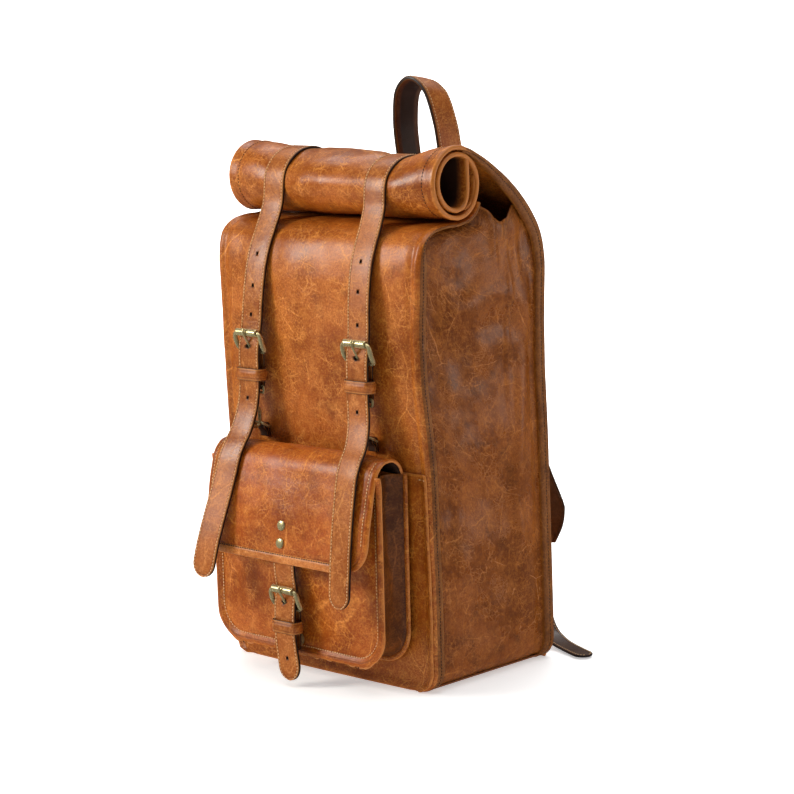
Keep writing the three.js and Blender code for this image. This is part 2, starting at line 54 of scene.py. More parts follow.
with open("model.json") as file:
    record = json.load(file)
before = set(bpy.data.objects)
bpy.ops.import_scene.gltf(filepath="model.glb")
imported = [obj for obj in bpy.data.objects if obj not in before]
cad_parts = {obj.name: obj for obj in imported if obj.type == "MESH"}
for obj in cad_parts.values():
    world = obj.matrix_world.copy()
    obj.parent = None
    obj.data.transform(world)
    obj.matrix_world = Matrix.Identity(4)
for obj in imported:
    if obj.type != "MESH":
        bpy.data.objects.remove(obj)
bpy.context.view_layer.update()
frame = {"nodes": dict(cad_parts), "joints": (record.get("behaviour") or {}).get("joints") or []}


# ------------------------------------------------------------------ measures from the frame


def node_box(name):
    """A CAD node's lowest and highest corners, in millimetres."""
    low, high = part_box(name)
    return np.array(low) / MM, np.array(high) / MM


def joint(name):
    """A joint's pivot, in millimetres."""
    found = next(j for j in frame["joints"] if j["name"] == name)
    return np.array(found["pos_m"]) / MM


SIDES = {"left": -1, "right": 1}
STRAP_X = {side: joint(f"{side}_tail_lift")[0] for side in SIDES}
TAIL_Z = joint("left_tail_lift")[2] + 1
BUCKLE = joint("left_prong_swing")  # the hinge bar of a main buckle
POCKET_BUCKLE = joint("pocket_prong_swing")


# ------------------------------------------------------------------ curves and small maths


def smoothstep(low, high, value):
    t = np.clip((np.asarray(value, float) - low) / (high - low), 0, 1)
    return t * t * (3 - 2 * t)


def spline(points, step):
    """Points a step apart along a smooth curve through the given ones, first and last kept."""
    p = np.asarray(points, float)
    ends = [2 * p[0] - p[1]], p, [2 * p[-1] - p[-2]]
    p = np.concatenate(ends)
    dense = []
    for a, b, c, d in zip(p, p[1:], p[2:], p[3:]):
        ta = np.linalg.norm(b - a) ** 0.5
        tb = ta + np.linalg.norm(c - b) ** 0.5
        tc = tb + np.linalg.norm(d - c) ** 0.5
        for t in np.linspace(ta, tb, 24, endpoint=False):
            ab = (ta - t) / ta * a + t / ta * b
            bc = (tb - t) / (tb - ta) * b + (t - ta) / (tb - ta) * c
            cd = (tc - t) / (tc - tb) * c + (t - tb) / (tc - tb) * d
            abc = (tb - t) / tb * ab + t / tb * bc
            bcd = (tc - t) / (tc - ta) * bc + (t - ta) / (tc - ta) * cd
            dense.append((tb - t) / (tb - ta) * abc + (t - ta) / (tb - ta) * bcd)
    dense.append(p[-2])
    return resample(dense, step)


def resample(points, step=None, at=None):
    """Points along a polyline: a step apart, or at the given distances."""
    p = np.asarray(points, float)
    run = run_of(p)
    if at is None:
        at = np.linspace(0, run[-1], max(2, int(round(run[-1] / step)) + 1))
    return np.stack([np.interp(at, run, p[:, i]) for i in range(p.shape[1])], 1)


def run_of(points):
    """Distance along a polyline, at each of its points."""
    legs = np.linalg.norm(np.diff(points, axis=0), axis=1)
    return np.concatenate([[0], np.cumsum(legs)])


def unit(vectors):
    vectors = np.asarray(vectors, float)
    return vectors / np.maximum(np.linalg.norm(vectors, axis=-1, keepdims=True), 1e-9)


def wobble(points, size, amount, seed):
    """Smooth random values of about plus or minus amount, with features of that size."""
    shape = points.shape[:-1]
    flat = points.reshape(-1, 3) / size + seed * 17.3
    values = [noise.noise(Vector(p)) for p in flat]
    return amount * np.array(values).reshape(shape) * 1.6


# ------------------------------------------------------------------ mesh builders


def make_mesh(name, vertices, faces, material, smooth=True, **layers):
    """A mesh object in metres. Each layer is a per-vertex value or vector for its material."""
    mesh = bpy.data.meshes.new(name)
    mesh.from_pydata((np.asarray(vertices) * MM).tolist(), [], faces)
    for key, values in layers.items():
        values = np.asarray(values, np.float32)
        kind = "FLOAT_VECTOR" if values.ndim == 2 else "FLOAT"
        layer = mesh.attributes.new(key, kind, "POINT")
        layer.data.foreach_set("vector" if values.ndim == 2 else "value", values.ravel())
    mesh.validate()
    mesh.polygons.foreach_set("use_smooth", [smooth] * len(mesh.polygons))
    mesh.materials.append(material)
    obj = bpy.data.objects.new(name, mesh)
    bpy.context.scene.collection.objects.link(obj)
    return obj


def place(obj, body, slot, *nodes):
    """The piece rides on a body and stands for CAD nodes, which it hides. The slot is not used."""
    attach(obj, body)
    if nodes:
        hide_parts(*nodes)
    return obj


def normals_of(grid):
    du = np.gradient(grid, axis=0)
    dv = np.gradient(grid, axis=1)
    return unit(np.cross(du, dv))


def perimeter(rows, columns):
    """Indices of a grid's border, once round."""
    top = [(0, j) for j in range(columns)]
    right = [(i, columns - 1) for i in range(1, rows)]
    bottom = [(rows - 1, j) for j in range(columns - 2, -1, -1)]
    left = [(i, 0) for i in range(rows - 2, 0, -1)]
    return top + right + bottom + left


def leather(name, grid, thick, material, seed, flip=False, lined=False, rim_out=0.45):
    """A closed sheet of leather over a grid of outer points, with a rounded rim, pale near it with wear and a
    painted highlight. A lined sheet shows its good side on both faces."""
    rows, columns = grid.shape[:2]
    normal = normals_of(grid) * (-1 if flip else 1)
    thick = np.broadcast_to(np.asarray(thick, float), grid.shape[:2])
    inner = grid - normal * thick[..., None]
    border = perimeter(rows, columns)
    idx = np.array(border)
    edge, inward_edge = grid[idx[:, 0], idx[:, 1]], inner[idx[:, 0], idx[:, 1]]
    neighbour = np.clip(idx, 1, [rows - 2, columns - 2])
    outward = unit(edge - grid[neighbour[:, 0], neighbour[:, 1]])
    middle = (edge + inward_edge) / 2
    up = (edge - inward_edge) / 2
    rings = []
    for angle in (0.25, 0.5, 0.75):
        turn = math.pi * angle
        out = outward * (math.sin(turn) * rim_out * thick[idx[:, 0], idx[:, 1]])[:, None]
        rings.append(middle + up * math.cos(turn) + out)

    count = rows * columns
    vertices = np.concatenate([grid.reshape(-1, 3), *rings, inner.reshape(-1, 3)])
    around = len(border)
    top_ids = np.arange(count).reshape(rows, columns)
    low_ids = top_ids + count + 3 * around
    faces = []
    for ids, turned in ((top_ids, flip), (low_ids, not flip)):
        a, b = ids[:-1, :-1].ravel(), ids[1:, :-1].ravel()
        c, d = ids[1:, 1:].ravel(), ids[:-1, 1:].ravel()
        quads = np.stack([a, d, c, b] if turned else [a, b, c, d], 1)
        faces += quads.tolist()
    loops = [top_ids[idx[:, 0], idx[:, 1]]]
    loops += [count + k * around + np.arange(around) for k in range(3)]
    loops.append(low_ids[idx[:, 0], idx[:, 1]])
    for a, b in zip(loops, loops[1:]):
        a2, b2 = np.roll(a, -1), np.roll(b, -1)
        quads = np.stack([a, b, b2, a2] if flip else [a, a2, b2, b], 1)
        faces += quads.tolist()

    u = np.concatenate([[0], np.cumsum(np.linalg.norm(np.diff(grid, axis=0), axis=2).mean(1))])
    v = np.concatenate([[0], np.cumsum(np.linalg.norm(np.diff(grid, axis=1), axis=2).mean(0))])
    uu, vv = np.meshgrid(u, v, indexing="ij")
    hide = np.stack([uu, vv, np.full_like(uu, 311.7 * seed)], 2)
    near = distance_to(grid, edge)
    ring_hide = [hide[idx[:, 0], idx[:, 1]]] * 3
    hides = np.concatenate([hide.reshape(-1, 3), *ring_hide, hide.reshape(-1, 3) + [0, 0, 40]])
    border_mm = np.concatenate([near.ravel(), np.zeros(3 * around), near.ravel()])
    rim = np.concatenate([np.zeros(count), *[[k] * around for k in (0.8, 1, 1)], np.zeros(count)])
    flesh = np.concatenate([np.zeros(count), *[[k] * around for k in (0, 0.2, 0.6)], np.ones(count)])
    flesh = flesh * (0 if lined else 1)
    return make_mesh(
        name, vertices, faces, material, hide=hides, border=border_mm, rim=rim, flesh=flesh
    )


def strap(name, centre, across, width, thick, material, seed, tip=False, dome=0.35):
    """A flat strap along a centre line, square at its start, with an optional rounded tip.
    across is the direction of its width, one vector or one per point."""
    centre = np.asarray(centre, float)
    run = run_of(centre)
    half = width / 2
    if tip:
        near_tip = run[-1] - half * (1 - np.cos(np.linspace(0, math.pi / 2, 9)))
        at = np.concatenate([run[run < run[-1] - half - 1], near_tip[::-1]])
    else:
        at = run
    across = np.broadcast_to(np.asarray(across, float), centre.shape)
    across = resample_with(across, run, at)
    centre = resample_with(centre, run, at)
    along = unit(np.gradient(centre, axis=0))
    across = unit(across - along * (across * along).sum(1, keepdims=True))
    normal = np.cross(along, across)
    left = run[-1] - at
    halves = np.full(len(at), half)
    if tip:
        inside = left < half
        halves[inside] = np.sqrt(np.maximum(half**2 - (half - left[inside]) ** 2, 0.16))

    t = thick / 2
    # (distance in from the edge or None for a share of the half width, height, rim, flesh)
    section = [(0, 0, 1, 0), (0.15, 0.55 * t, 1, 0), (0.7, t, 0.5, 0), (1.6, t, 0, 0), (3.2, t, 0, 0)]
    shares = [0.45, 0.15, -0.15, -0.45]
    ring = [(1, d, h, r, f) for d, h, r, f in section]
    ring += [(s, None, t + dome * (1 - s * s), 0, 0) for s in shares]
    ring += [(-1, d, h, r, f) for d, h, r, f in reversed(section)]
    ring += [(-1, 0.15, -0.55 * t, 1, 0), (-1, 0.7, -t, 0.5, 0.5)]
    ring += [(s, None, -t, 0, 1) for s in (-0.5, 0.5)]
    ring += [(1, 0.7, -t, 0.5, 0.5), (1, 0.15, -0.55 * t, 1, 0)]

    vertices, hides, border, rim, flesh = [], [], [], [], []
    for c, w, n, h, s in zip(centre, across, normal, halves, at):
        for side, inset, height, r, f in ring:
            a = side * h if inset is None else side * max(h - inset, 0.05)
            vertices.append(c + w * a + n * height)
            hides.append((a, s, 311.7 * seed + (9 if f > 0.5 else 0)))
            edge = h - abs(a)
            border.append(min(edge, run[-1] - s) if tip else edge)
            rim.append(r)
            flesh.append(f)
    m = len(ring)
    faces = []
    for i in range(len(at) - 1):
        for k in range(m):
            a, b = i * m + k, i * m + (k + 1) % m
            faces.append((a, a + m, b + m, b))
    faces.append(tuple(range(m)))
    faces.append(tuple(reversed(range((len(at) - 1) * m, len(at) * m))))
    obj = make_mesh(
        name, vertices, faces, material, hide=np.array(hides), border=border, rim=rim, flesh=flesh
    )
    info = {"centre": centre, "across": across, "normal": normal, "half": halves, "top": t}
    return obj, info


def resample_with(values, run, at):
    return np.stack([np.interp(at, run, values[:, i]) for i in range(values.shape[1])], 1)


def punch(obj, holes):
    """Round holes through a strap: each is (point, direction, radius)."""
    bpy.context.view_layer.update()
    old = np.array([v.co for v in obj.data.vertices]) / MM
    kept = {key: read_layer(obj.data, key) for key in ("hide", "border", "rim", "flesh")}
    for point, direction, radius in holes:
        bpy.ops.mesh.primitive_cylinder_add(vertices=20, radius=radius * MM, depth=0.014)
        tool = bpy.context.object
        turn = Vector((0, 0, 1)).rotation_difference(Vector(direction)).to_matrix().to_4x4()
        tool.matrix_world = Matrix.Translation(Vector(point) * MM) @ turn
        cut = obj.modifiers.new("hole", "BOOLEAN")
        cut.object = tool
        cut.operation = "DIFFERENCE"
        cut.solver = "EXACT"
        bpy.context.view_layer.update()
        mesh = bpy.data.meshes.new_from_object(obj.evaluated_get(bpy.context.evaluated_depsgraph_get()))
        obj.modifiers.clear()
        obj.data = mesh
        bpy.data.objects.remove(tool)
    mesh = obj.data
    new = np.array([v.co for v in mesh.vertices]) / MM
    tree = KDTree(len(old))
    for i, p in enumerate(old):
        tree.insert(p, i)
    tree.balance()
    nearest = np.array([tree.find(p)[1] for p in new])
    values = {key: layer[nearest] for key, layer in kept.items()}
    for point, direction, radius in holes:
        d = unit(direction)
        rel = new - np.asarray(point)
        off = rel - np.outer(rel @ d, d)
        wall = (np.linalg.norm(off, axis=1) < radius + 0.05) & (np.abs(rel @ d) < 7)
        values["rim"][wall] = 1
    for key in list(mesh.attributes.keys()):
        if key in values:
            mesh.attributes.remove(mesh.attributes[key])
    for key, layer in values.items():
        kind = "FLOAT_VECTOR" if layer.ndim == 2 else "FLOAT"
        attribute = mesh.attributes.new(key, kind, "POINT")
        attribute.data.foreach_set("vector" if layer.ndim == 2 else "value", layer.astype(np.float32).ravel())
    mesh.materials.clear()
    mesh.materials.append(LEATHER_STRAP)
    mesh.polygons.foreach_set("use_smooth", [True] * len(mesh.polygons))
    return obj


def read_layer(mesh, key):
    layer = mesh.attributes[key]
    wide = layer.data_type == "FLOAT_VECTOR"
    values = np.zeros(len(layer.data) * (3 if wide else 1), np.float32)
    layer.data.foreach_get("vector" if wide else "value", values)
    return values.reshape(-1, 3) if wide else values


def tube(name, path, radius, material, closed=False, sides=14, flat=1.0, normal=None):
    """A round bar along a path. flat squeezes it along the given normal. radius may vary."""
    p = np.asarray(path, float)
    n = len(p)
    radii = np.broadcast_to(np.asarray(radius, float), (n,))
    if closed:
        along = unit(np.roll(p, -1, 0) - np.roll(p, 1, 0))
    else:
        along = unit(np.gradient(p, axis=0))
    if normal is None:
        side = np.cross(along[0], [0.3, 0.5, 0.8])
        sides_dir = []
        for t in along:
            side = side - t * (side @ t)
            side = side / np.linalg.norm(side)
            sides_dir.append(side)
        first = np.array(sides_dir)
    else:
        first = unit(np.asarray(normal) - along * (along @ np.asarray(normal))[:, None])
    second = np.cross(along, first)
    vertices = []
    for i in range(n):
        for k in range(sides):
            a = 2 * math.pi * k / sides
            offset = first[i] * math.cos(a) * flat + second[i] * math.sin(a)
            vertices.append(p[i] + offset * radii[i])
    faces = []
    for i in range(n if closed else n - 1):
        j = (i + 1) % n
        for k in range(sides):
            l = (k + 1) % sides
            faces.append((i * sides + k, i * sides + l, j * sides + l, j * sides + k))
    if not closed:
        for end, ring in ((0, range(sides)), (n - 1, range(sides))):
            tip = p[end] + along[end] * radii[end] * (0.35 if end else -0.35)
            vertices.append(tip)
            c = len(vertices) - 1
            for k in ring:
                l = (k + 1) % sides
                a, b = end * sides + k, end * sides + l
                faces.append((a, b, c) if end else (b, a, c))
    return make_mesh(name, vertices, faces, material)


def lathe(name, profile, centre, axis, material, sides=32):
    """A turned piece: profile is (radius, distance along the axis), closed on the axis or on itself."""
    axis = unit(axis)
    side = unit(np.cross(axis, [0.31, 0.52, 0.79]))
    other = np.cross(axis, side)
    vertices, faces = [], []
    for r, h in profile:
        for k in range(sides):
            a = 2 * math.pi * k / sides
            vertices.append(
                np.asarray(centre) + axis * h + (side * math.cos(a) + other * math.sin(a)) * r
            )
    for i in range(len(profile) - 1):
        for k in range(sides):
            l = (k + 1) % sides
            faces.append((i * sides + k, i * sides + l, (i + 1) * sides + l, (i + 1) * sides + k))
    if profile[0] != profile[-1]:
        faces.append(tuple(reversed(range(sides))))
        faces.append(tuple(range((len(profile) - 1) * sides, len(profile) * sides)))
    return make_mesh(name, vertices, faces, material)


def joined(name, *objects):
    """One object from several, which keeps their layers."""
    bpy.ops.object.select_all(action="DESELECT")
    for obj in objects:
        obj.select_set(True)
    bpy.context.view_layer.objects.active = objects[0]
    bpy.ops.object.join()
    objects[0].name = name
    objects[0].data.name = name
    return objects[0]


# ------------------------------------------------------------------ stitching

PITCH = 3.4
STITCH = 2.5
thread_runs = {}  # (body, thread): list of (points, normals)


def sew(body, points, normals, thread="light"):
    """Asks for a row of stitches along a line that lies on a surface."""
    rows = thread_runs.setdefault((body, thread), [])
    rows.append((np.asarray(points, float), np.asarray(normals, float)))


def make_stitches():
    rings = [(-1, 0.0), (-0.75, 0.62), (0, 1.0), (0.75, 0.62), (1, 0.0)]
    sides = 6
    template = []
    for along, size in rings:
        count = 1 if size == 0 else sides
        for k in range(count):
            a = 2 * math.pi * k / sides
            template.append((along, size * math.cos(a), size * math.sin(a)))
    template = np.array(template)
    first = [(0, 1 + (k + 1) % sides, 1 + k) for k in range(sides)]
    body_faces = []
    for r in range(2):
        for k in range(sides):
            a, b = 1 + r * sides + k, 1 + r * sides + (k + 1) % sides
            body_faces.append((a, b, b + sides, a + sides))
    last = 1 + 3 * sides
    ends = [(last, last - sides + k, last - sides + (k + 1) % sides) for k in range(sides)]
    shape_faces = first + body_faces + ends

    for (body, thread), runs in thread_runs.items():
        vertices, faces = [], []
        for points, normals in runs:
            run = run_of(points)
            count = max(1, int(run[-1] / PITCH))
            at = (np.arange(count) + 0.5) * run[-1] / count
            places = resample_with(points, run, at)
            tangents = unit(resample_with(points, run, np.minimum(at + 0.5, run[-1])) - places + 1e-9)
            ups = unit(resample_with(normals, run, at))
            for p, t, n in zip(places, tangents, ups):
                b = np.cross(n, t)
                base = len(vertices)
                for a, x, y in template:
                    vertices.append(p + t * a * STITCH / 2 + b * x * 0.58 + n * (y * 0.5 + 0.1))
                faces += [tuple(base + i for i in f) for f in shape_faces]
        obj = make_mesh(f"stitches_{thread}_{body}", vertices, faces, THREADS[thread])
        place(obj, body, "strap_leather" if body != "bag" else "bag_leather")


def sew_strap(body, info, inset=2.6, start=0.0, stop=0.0):
    """Stitches along both edges of a strap."""
    c, w, n, h = info["centre"], info["across"], info["normal"], info["half"]
    run = run_of(c)
    keep = (run >= start) & (run <= run[-1] - stop) & (h > inset + 1.5)
    lift = info["top"]
    left = c + w * (h - inset)[:, None] + n * lift
    right = c - w * (h - inset)[:, None] + n * lift
    sew(body, left[keep], n[keep])
    sew(body, right[keep], n[keep])


# ------------------------------------------------------------------ materials


def node_maker(tree):
    def add(kind, **settings):
        node = tree.nodes.new("ShaderNode" + kind)
        for key, value in settings.items():
            if key.startswith("in_"):
                node.inputs[key[3:].replace("_", " ")].default_value = value
            else:
                setattr(node, key, value)
        return node

    return add


def math_node(tree, operation, a, b=None, clamp=False):
    node = tree.nodes.new("ShaderNodeMath")
    node.operation = operation
    node.use_clamp = clamp
    for socket, value in zip(node.inputs, (a, b)):
        if value is None:
            continue
        if isinstance(value, (int, float)):
            socket.default_value = value
        else:
            tree.links.new(value, socket)
    return node.outputs[0]


def ramp(tree, value, low, high):
    """0 below low, 1 above high."""
    node = tree.nodes.new("ShaderNodeMapRange")
    node.interpolation_type = "SMOOTHSTEP"
    node.inputs["From Min"].default_value = low
    node.inputs["From Max"].default_value = high
    tree.links.new(value, node.inputs["Value"])
    return node.outputs["Result"]


def blend_colour(tree, factor, a, b):
    node = tree.nodes.new("ShaderNodeMix")
    node.data_type = "RGBA"
    for socket, value in ((node.inputs["Factor"], factor), (node.inputs["A"], a), (node.inputs["B"], b)):
        if isinstance(value, tuple):
            socket.default_value = (*value, 1)
        elif isinstance(value, (int, float)):
            socket.default_value = value
        else:
            tree.links.new(value, socket)
    return node.outputs["Result"]


def srgb(r, g, b):
    """A colour as seen on screen, 0 to 255, in the shader's linear values."""
    return tuple(((c / 255 + 0.055) / 1.055) ** 2.4 if c > 10 else c / 255 / 12.92 for c in (r, g, b))


def leather_material(
    name, base, light, dark, edge, groove_at=None, marks=1.0, roughness=0.37, bevel_highlight=0.35, creases=(1, 1, 1),
    seam_shade=0.15,
):
    """Waxed pull-up leather: clouds, pale stretch marks and scratches, grain, painted edges, with painted
    shade near seams, in stitch grooves and on the inner face, and a pale edge band of wear and painted
    highlight.
    """
    material = bpy.data.materials.new(name)
    material.use_nodes = True
    tree = material.node_tree
    tree.nodes.clear()
    link = tree.links.new
    add = node_maker(tree)
    out = add("OutputMaterial")
    shader = add("BsdfPrincipled")
    link(shader.outputs["BSDF"], out.inputs["Surface"])

    hide = add("Attribute", attribute_name="hide").outputs["Vector"]
    border = add("Attribute", attribute_name="border").outputs["Fac"]
    rim = add("Attribute", attribute_name="rim").outputs["Fac"]
    flesh = add("Attribute", attribute_name="flesh").outputs["Fac"]

    def noise_at(vector, scale, detail=4, rough=0.55, distortion=0.0):
        node = add("TexNoise", in_Scale=scale, in_Detail=detail, in_Roughness=rough)
        node.inputs["Distortion"].default_value = distortion
        link(vector, node.inputs["Vector"])
        return node

    def warped(amount, scale):
        shift = noise_at(hide, scale, 3)
        node = add("VectorMath", operation="MULTIPLY_ADD")
        link(shift.outputs["Color"], node.inputs[0])
        node.inputs[1].default_value = (amount, amount, amount)
        link(hide, node.inputs[2])
        return node.outputs[0]

    def lines(vector, scale, low, high, stretch=(1, 1, 1)):
        mapping = add("Mapping")
        mapping.inputs["Scale"].default_value = stretch
        link(vector, mapping.inputs["Vector"])
        cells = add("TexVoronoi", feature="DISTANCE_TO_EDGE", in_Scale=scale)
        link(mapping.outputs["Vector"], cells.inputs["Vector"])
        return math_node(tree, "SUBTRACT", 1.0, ramp(tree, cells.outputs["Distance"], low, high))

    clouds = noise_at(hide, 0.011, 3, 0.5).outputs["Fac"]
    mottle = noise_at(hide, 0.085, 6, 0.62, 0.25).outputs["Fac"]
    fine = noise_at(hide, 0.42, 5, 0.72).outputs["Fac"]
    bent = warped(9, 0.03)
    crossed = warped(7, 0.08)
    ruffled = warped(1.6, 0.22)
    long_marks = lines(bent, 0.014, 0.0, 0.012, (1, 0.5, 1))
    cross_marks = lines(crossed, 0.026, 0.0, 0.02, (0.45, 1, 1))
    short_marks = lines(crossed, 0.06, 0.0, 0.044, (1, 0.7, 1))
    crackle = lines(ruffled, 0.19, 0.0, 0.12, creases)
    crackle_fine = lines(ruffled, 0.42, 0.0, 0.2, creases)
    patchy = ramp(tree, noise_at(hide, 0.022, 3).outputs["Fac"], 0.42, 0.6)
    patchy_b = ramp(tree, noise_at(hide, 0.05, 4).outputs["Fac"], 0.36, 0.66)

    shaded = math_node(tree, "MULTIPLY", ramp(tree, clouds, 0.62, 0.34), 0.5)
    colour = blend_colour(tree, shaded, base, dark)
    blot = noise_at(hide, 0.03, 4, 0.6, 0.4).outputs["Fac"]
    blotted = math_node(tree, "MULTIPLY", ramp(tree, blot, 0.5, 0.68), 0.5)
    colour = blend_colour(tree, blotted, colour, dark)
    # painted shade: the colour darkens, in patches, within about 24 mm of a panel's seams
    near_seam_shade = math_node(tree, "MULTIPLY", ramp(tree, border, 24, 3), ramp(tree, mottle, 0.3, 0.5))
    colour = blend_colour(tree, math_node(tree, "MULTIPLY", near_seam_shade, seam_shade), colour, dark)
    toned = math_node(tree, "MULTIPLY", ramp(tree, mottle, 0.48, 0.74), 0.34)
    colour = blend_colour(tree, toned, colour, light)
    deep = math_node(tree, "MULTIPLY", ramp(tree, mottle, 0.5, 0.28), 0.34)
    colour = blend_colour(tree, deep, colour, dark)

    def marks_of(mask, patches, strength):
        return math_node(tree, "MULTIPLY", math_node(tree, "MULTIPLY", mask, patches), strength * marks)

    scratch = math_node(
        tree, "MAXIMUM", marks_of(long_marks, patchy, 0.9), marks_of(short_marks, patchy_b, 0.7)
    )
    scratch = math_node(tree, "MAXIMUM", scratch, marks_of(cross_marks, patchy_b, 0.8))
    scratch = math_node(tree, "MAXIMUM", scratch, marks_of(crackle, patchy_b, 0.5))
    scratch = math_node(tree, "MAXIMUM", scratch, marks_of(crackle_fine, patchy, 0.34))
    scratch = math_node(tree, "MULTIPLY", scratch, ramp(tree, fine, 0.25, 0.6), clamp=True)
    colour = blend_colour(tree, scratch, colour, light)
    speck = math_node(tree, "MULTIPLY", ramp(tree, fine, 0.5, 0.72), 0.44)
    colour = blend_colour(tree, speck, colour, light)
    speck_dark = math_node(tree, "MULTIPLY", ramp(tree, fine, 0.5, 0.28), 0.5)
    colour = blend_colour(tree, speck_dark, colour, dark)

    bump_height = math_node(tree, "MULTIPLY", scratch, -0.16)
    if groove_at:
        from_line = math_node(tree, "ABSOLUTE", math_node(tree, "SUBTRACT", border, groove_at))
        groove = math_node(tree, "SUBTRACT", 1.0, ramp(tree, from_line, 0.2, 1.2))
        groove = math_node(tree, "MULTIPLY", groove, math_node(tree, "SUBTRACT", 1.0, rim))
        # painted shade: the colour darkens along the stitch groove, which the bump also sinks
        colour = blend_colour(tree, math_node(tree, "MULTIPLY", groove, 0.45), colour, dark)
        bump_height = math_node(tree, "SUBTRACT", bump_height, math_node(tree, "MULTIPLY", groove, 0.35))
    # a pale band along every edge: partly wear, partly a painted highlight on the edge bevel
    wear_and_bevel_highlight = math_node(tree, "SUBTRACT", 1.0, ramp(tree, border, 0.3, 2.6))
    wear_and_bevel_highlight = math_node(tree, "MULTIPLY", wear_and_bevel_highlight, ramp(tree, mottle, 0.3, 0.55))
    colour = blend_colour(tree, math_node(tree, "MULTIPLY", wear_and_bevel_highlight, bevel_highlight), colour, light)
    # the leather's inner face: its own brown darkened as painted shade, and painted shade deep in the roll's
    # hidden turns
    colour = blend_colour(tree, flesh, colour, srgb(58, 34, 20))
    colour = blend_colour(tree, rim, colour, edge)
    link(colour, shader.inputs["Base Color"])

    grain = add("TexVoronoi", feature="SMOOTH_F1", in_Scale=1.1)
    link(warped(1.2, 0.7), grain.inputs["Vector"])
    grain_height = math_node(tree, "MULTIPLY", grain.outputs["Distance"], 0.07)
    soft = math_node(tree, "MULTIPLY", mottle, 0.55)
    height = math_node(tree, "ADD", grain_height, math_node(tree, "ADD", soft, bump_height))
    height = math_node(tree, "ADD", height, math_node(tree, "MULTIPLY", fine, 0.12))
    bump = add("Bump", in_Strength=0.9, in_Distance=MM)
    link(height, bump.inputs["Height"])
    link(bump.outputs["Normal"], shader.inputs["Normal"])

    rough = math_node(tree, "MULTIPLY_ADD", ramp(tree, clouds, 0.3, 0.7), 0.14)
    tree.nodes[-1].inputs[2].default_value = roughness - 0.07
    rough = math_node(tree, "ADD", rough, math_node(tree, "MULTIPLY", scratch, 0.12))
    rough = math_node(tree, "ADD", rough, math_node(tree, "MULTIPLY", flesh, 0.35), clamp=True)
    link(rough, shader.inputs["Roughness"])
    shader.inputs["IOR"].default_value = 1.45
    shader.inputs["Specular IOR Level"].default_value = 0.36
    shader.inputs["Coat Weight"].default_value = 0.12
    shader.inputs["Coat Roughness"].default_value = 0.24
    return material


def brass_material():
    """Antique brass: pale rubbed metal with darker, rougher patina."""
    material = bpy.data.materials.new("antique_brass_worn")
    material.use_nodes = True
    tree = material.node_tree
    tree.nodes.clear()
    add = node_maker(tree)
    link = tree.links.new
    out = add("OutputMaterial")
    shader = add("BsdfPrincipled")
    link(shader.outputs["BSDF"], out.inputs["Surface"])
    place_at = add("TexCoord").outputs["Object"]
    blotch = add("TexNoise", in_Scale=70, in_Detail=2, in_Roughness=0.5)
    fine = add("TexNoise", in_Scale=1500, in_Detail=3, in_Roughness=0.6)
    link(place_at, blotch.inputs["Vector"])
    link(place_at, fine.inputs["Vector"])
    patina = math_node(tree, "MULTIPLY", ramp(tree, blotch.outputs["Fac"], 0.5, 0.78), 0.4)
    colour = blend_colour(tree, patina, srgb(214, 200, 150), srgb(126, 110, 68))
    colour = blend_colour(
        tree, math_node(
            tree, "MULTIPLY", ramp(tree, fine.outputs["Fac"], 0.5, 0.75), 0.12
        ), colour, srgb(240, 232, 196)
    )
    link(colour, shader.inputs["Base Color"])
    shader.inputs["Metallic"].default_value = 0.72
    rough = math_node(tree, "MULTIPLY_ADD", patina, 0.2)
    tree.nodes[-1].inputs[2].default_value = 0.27
    link(rough, shader.inputs["Roughness"])
    bump = add("Bump", in_Strength=0.06, in_Distance=0.0001)
    link(fine.outputs["Fac"], bump.inputs["Height"])
    link(bump.outputs["Normal"], shader.inputs["Normal"])
    return material


def thread_material(name, low, high):
    """Waxed thread: a fine twist across each stitch."""
    material = bpy.data.materials.new(name)
    material.use_nodes = True
    tree = material.node_tree
    tree.nodes.clear()
    add = node_maker(tree)
    link = tree.links.new
    out = add("OutputMaterial")
    shader = add("BsdfPrincipled")
    link(shader.outputs["BSDF"], out.inputs["Surface"])
    place_at = add("TexCoord").outputs["Object"]
    twist = add("TexWave", in_Scale=700, in_Distortion=1.5)
    tone = add("TexNoise", in_Scale=90)
    link(place_at, twist.inputs["Vector"])
    link(place_at, tone.inputs["Vector"])
    colour = blend_colour(tree, tone.outputs["Fac"], low, high)
    link(colour, shader.inputs["Base Color"])
    shader.inputs["Roughness"].default_value = 0.7
    bump = add("Bump", in_Strength=0.5, in_Distance=0.0003)
    link(twist.outputs["Fac"], bump.inputs["Height"])
    link(bump.outputs["Normal"], shader.inputs["Normal"])
    return material


def cloth_material():
    """Plain dark lining cloth: a fine square weave."""
    material = bpy.data.materials.new("lining_weave")
    material.use_nodes = True
    tree = material.node_tree
    tree.nodes.clear()
    add = node_maker(tree)
    link = tree.links.new
    out = add("OutputMaterial")
    shader = add("BsdfPrincipled")
    link(shader.outputs["BSDF"], out.inputs["Surface"])
    place_at = add("TexCoord").outputs["Object"]
    across = add("TexWave", in_Scale=500, bands_direction="X")
    along = add("TexWave", in_Scale=500, bands_direction="Z")
    link(place_at, across.inputs["Vector"])
    link(place_at, along.inputs["Vector"])
    weave = math_node(tree, "MULTIPLY", across.outputs["Fac"], along.outputs["Fac"])
    colour = blend_colour(tree, weave, srgb(38, 30, 25), srgb(66, 54, 44))
    link(colour, shader.inputs["Base Color"])
    shader.inputs["Roughness"].default_value = 0.9
    bump = add("Bump", in_Strength=0.4, in_Distance=0.0003)
    link(weave, bump.inputs["Height"])
    link(bump.outputs["Normal"], shader.inputs["Normal"])
    return material


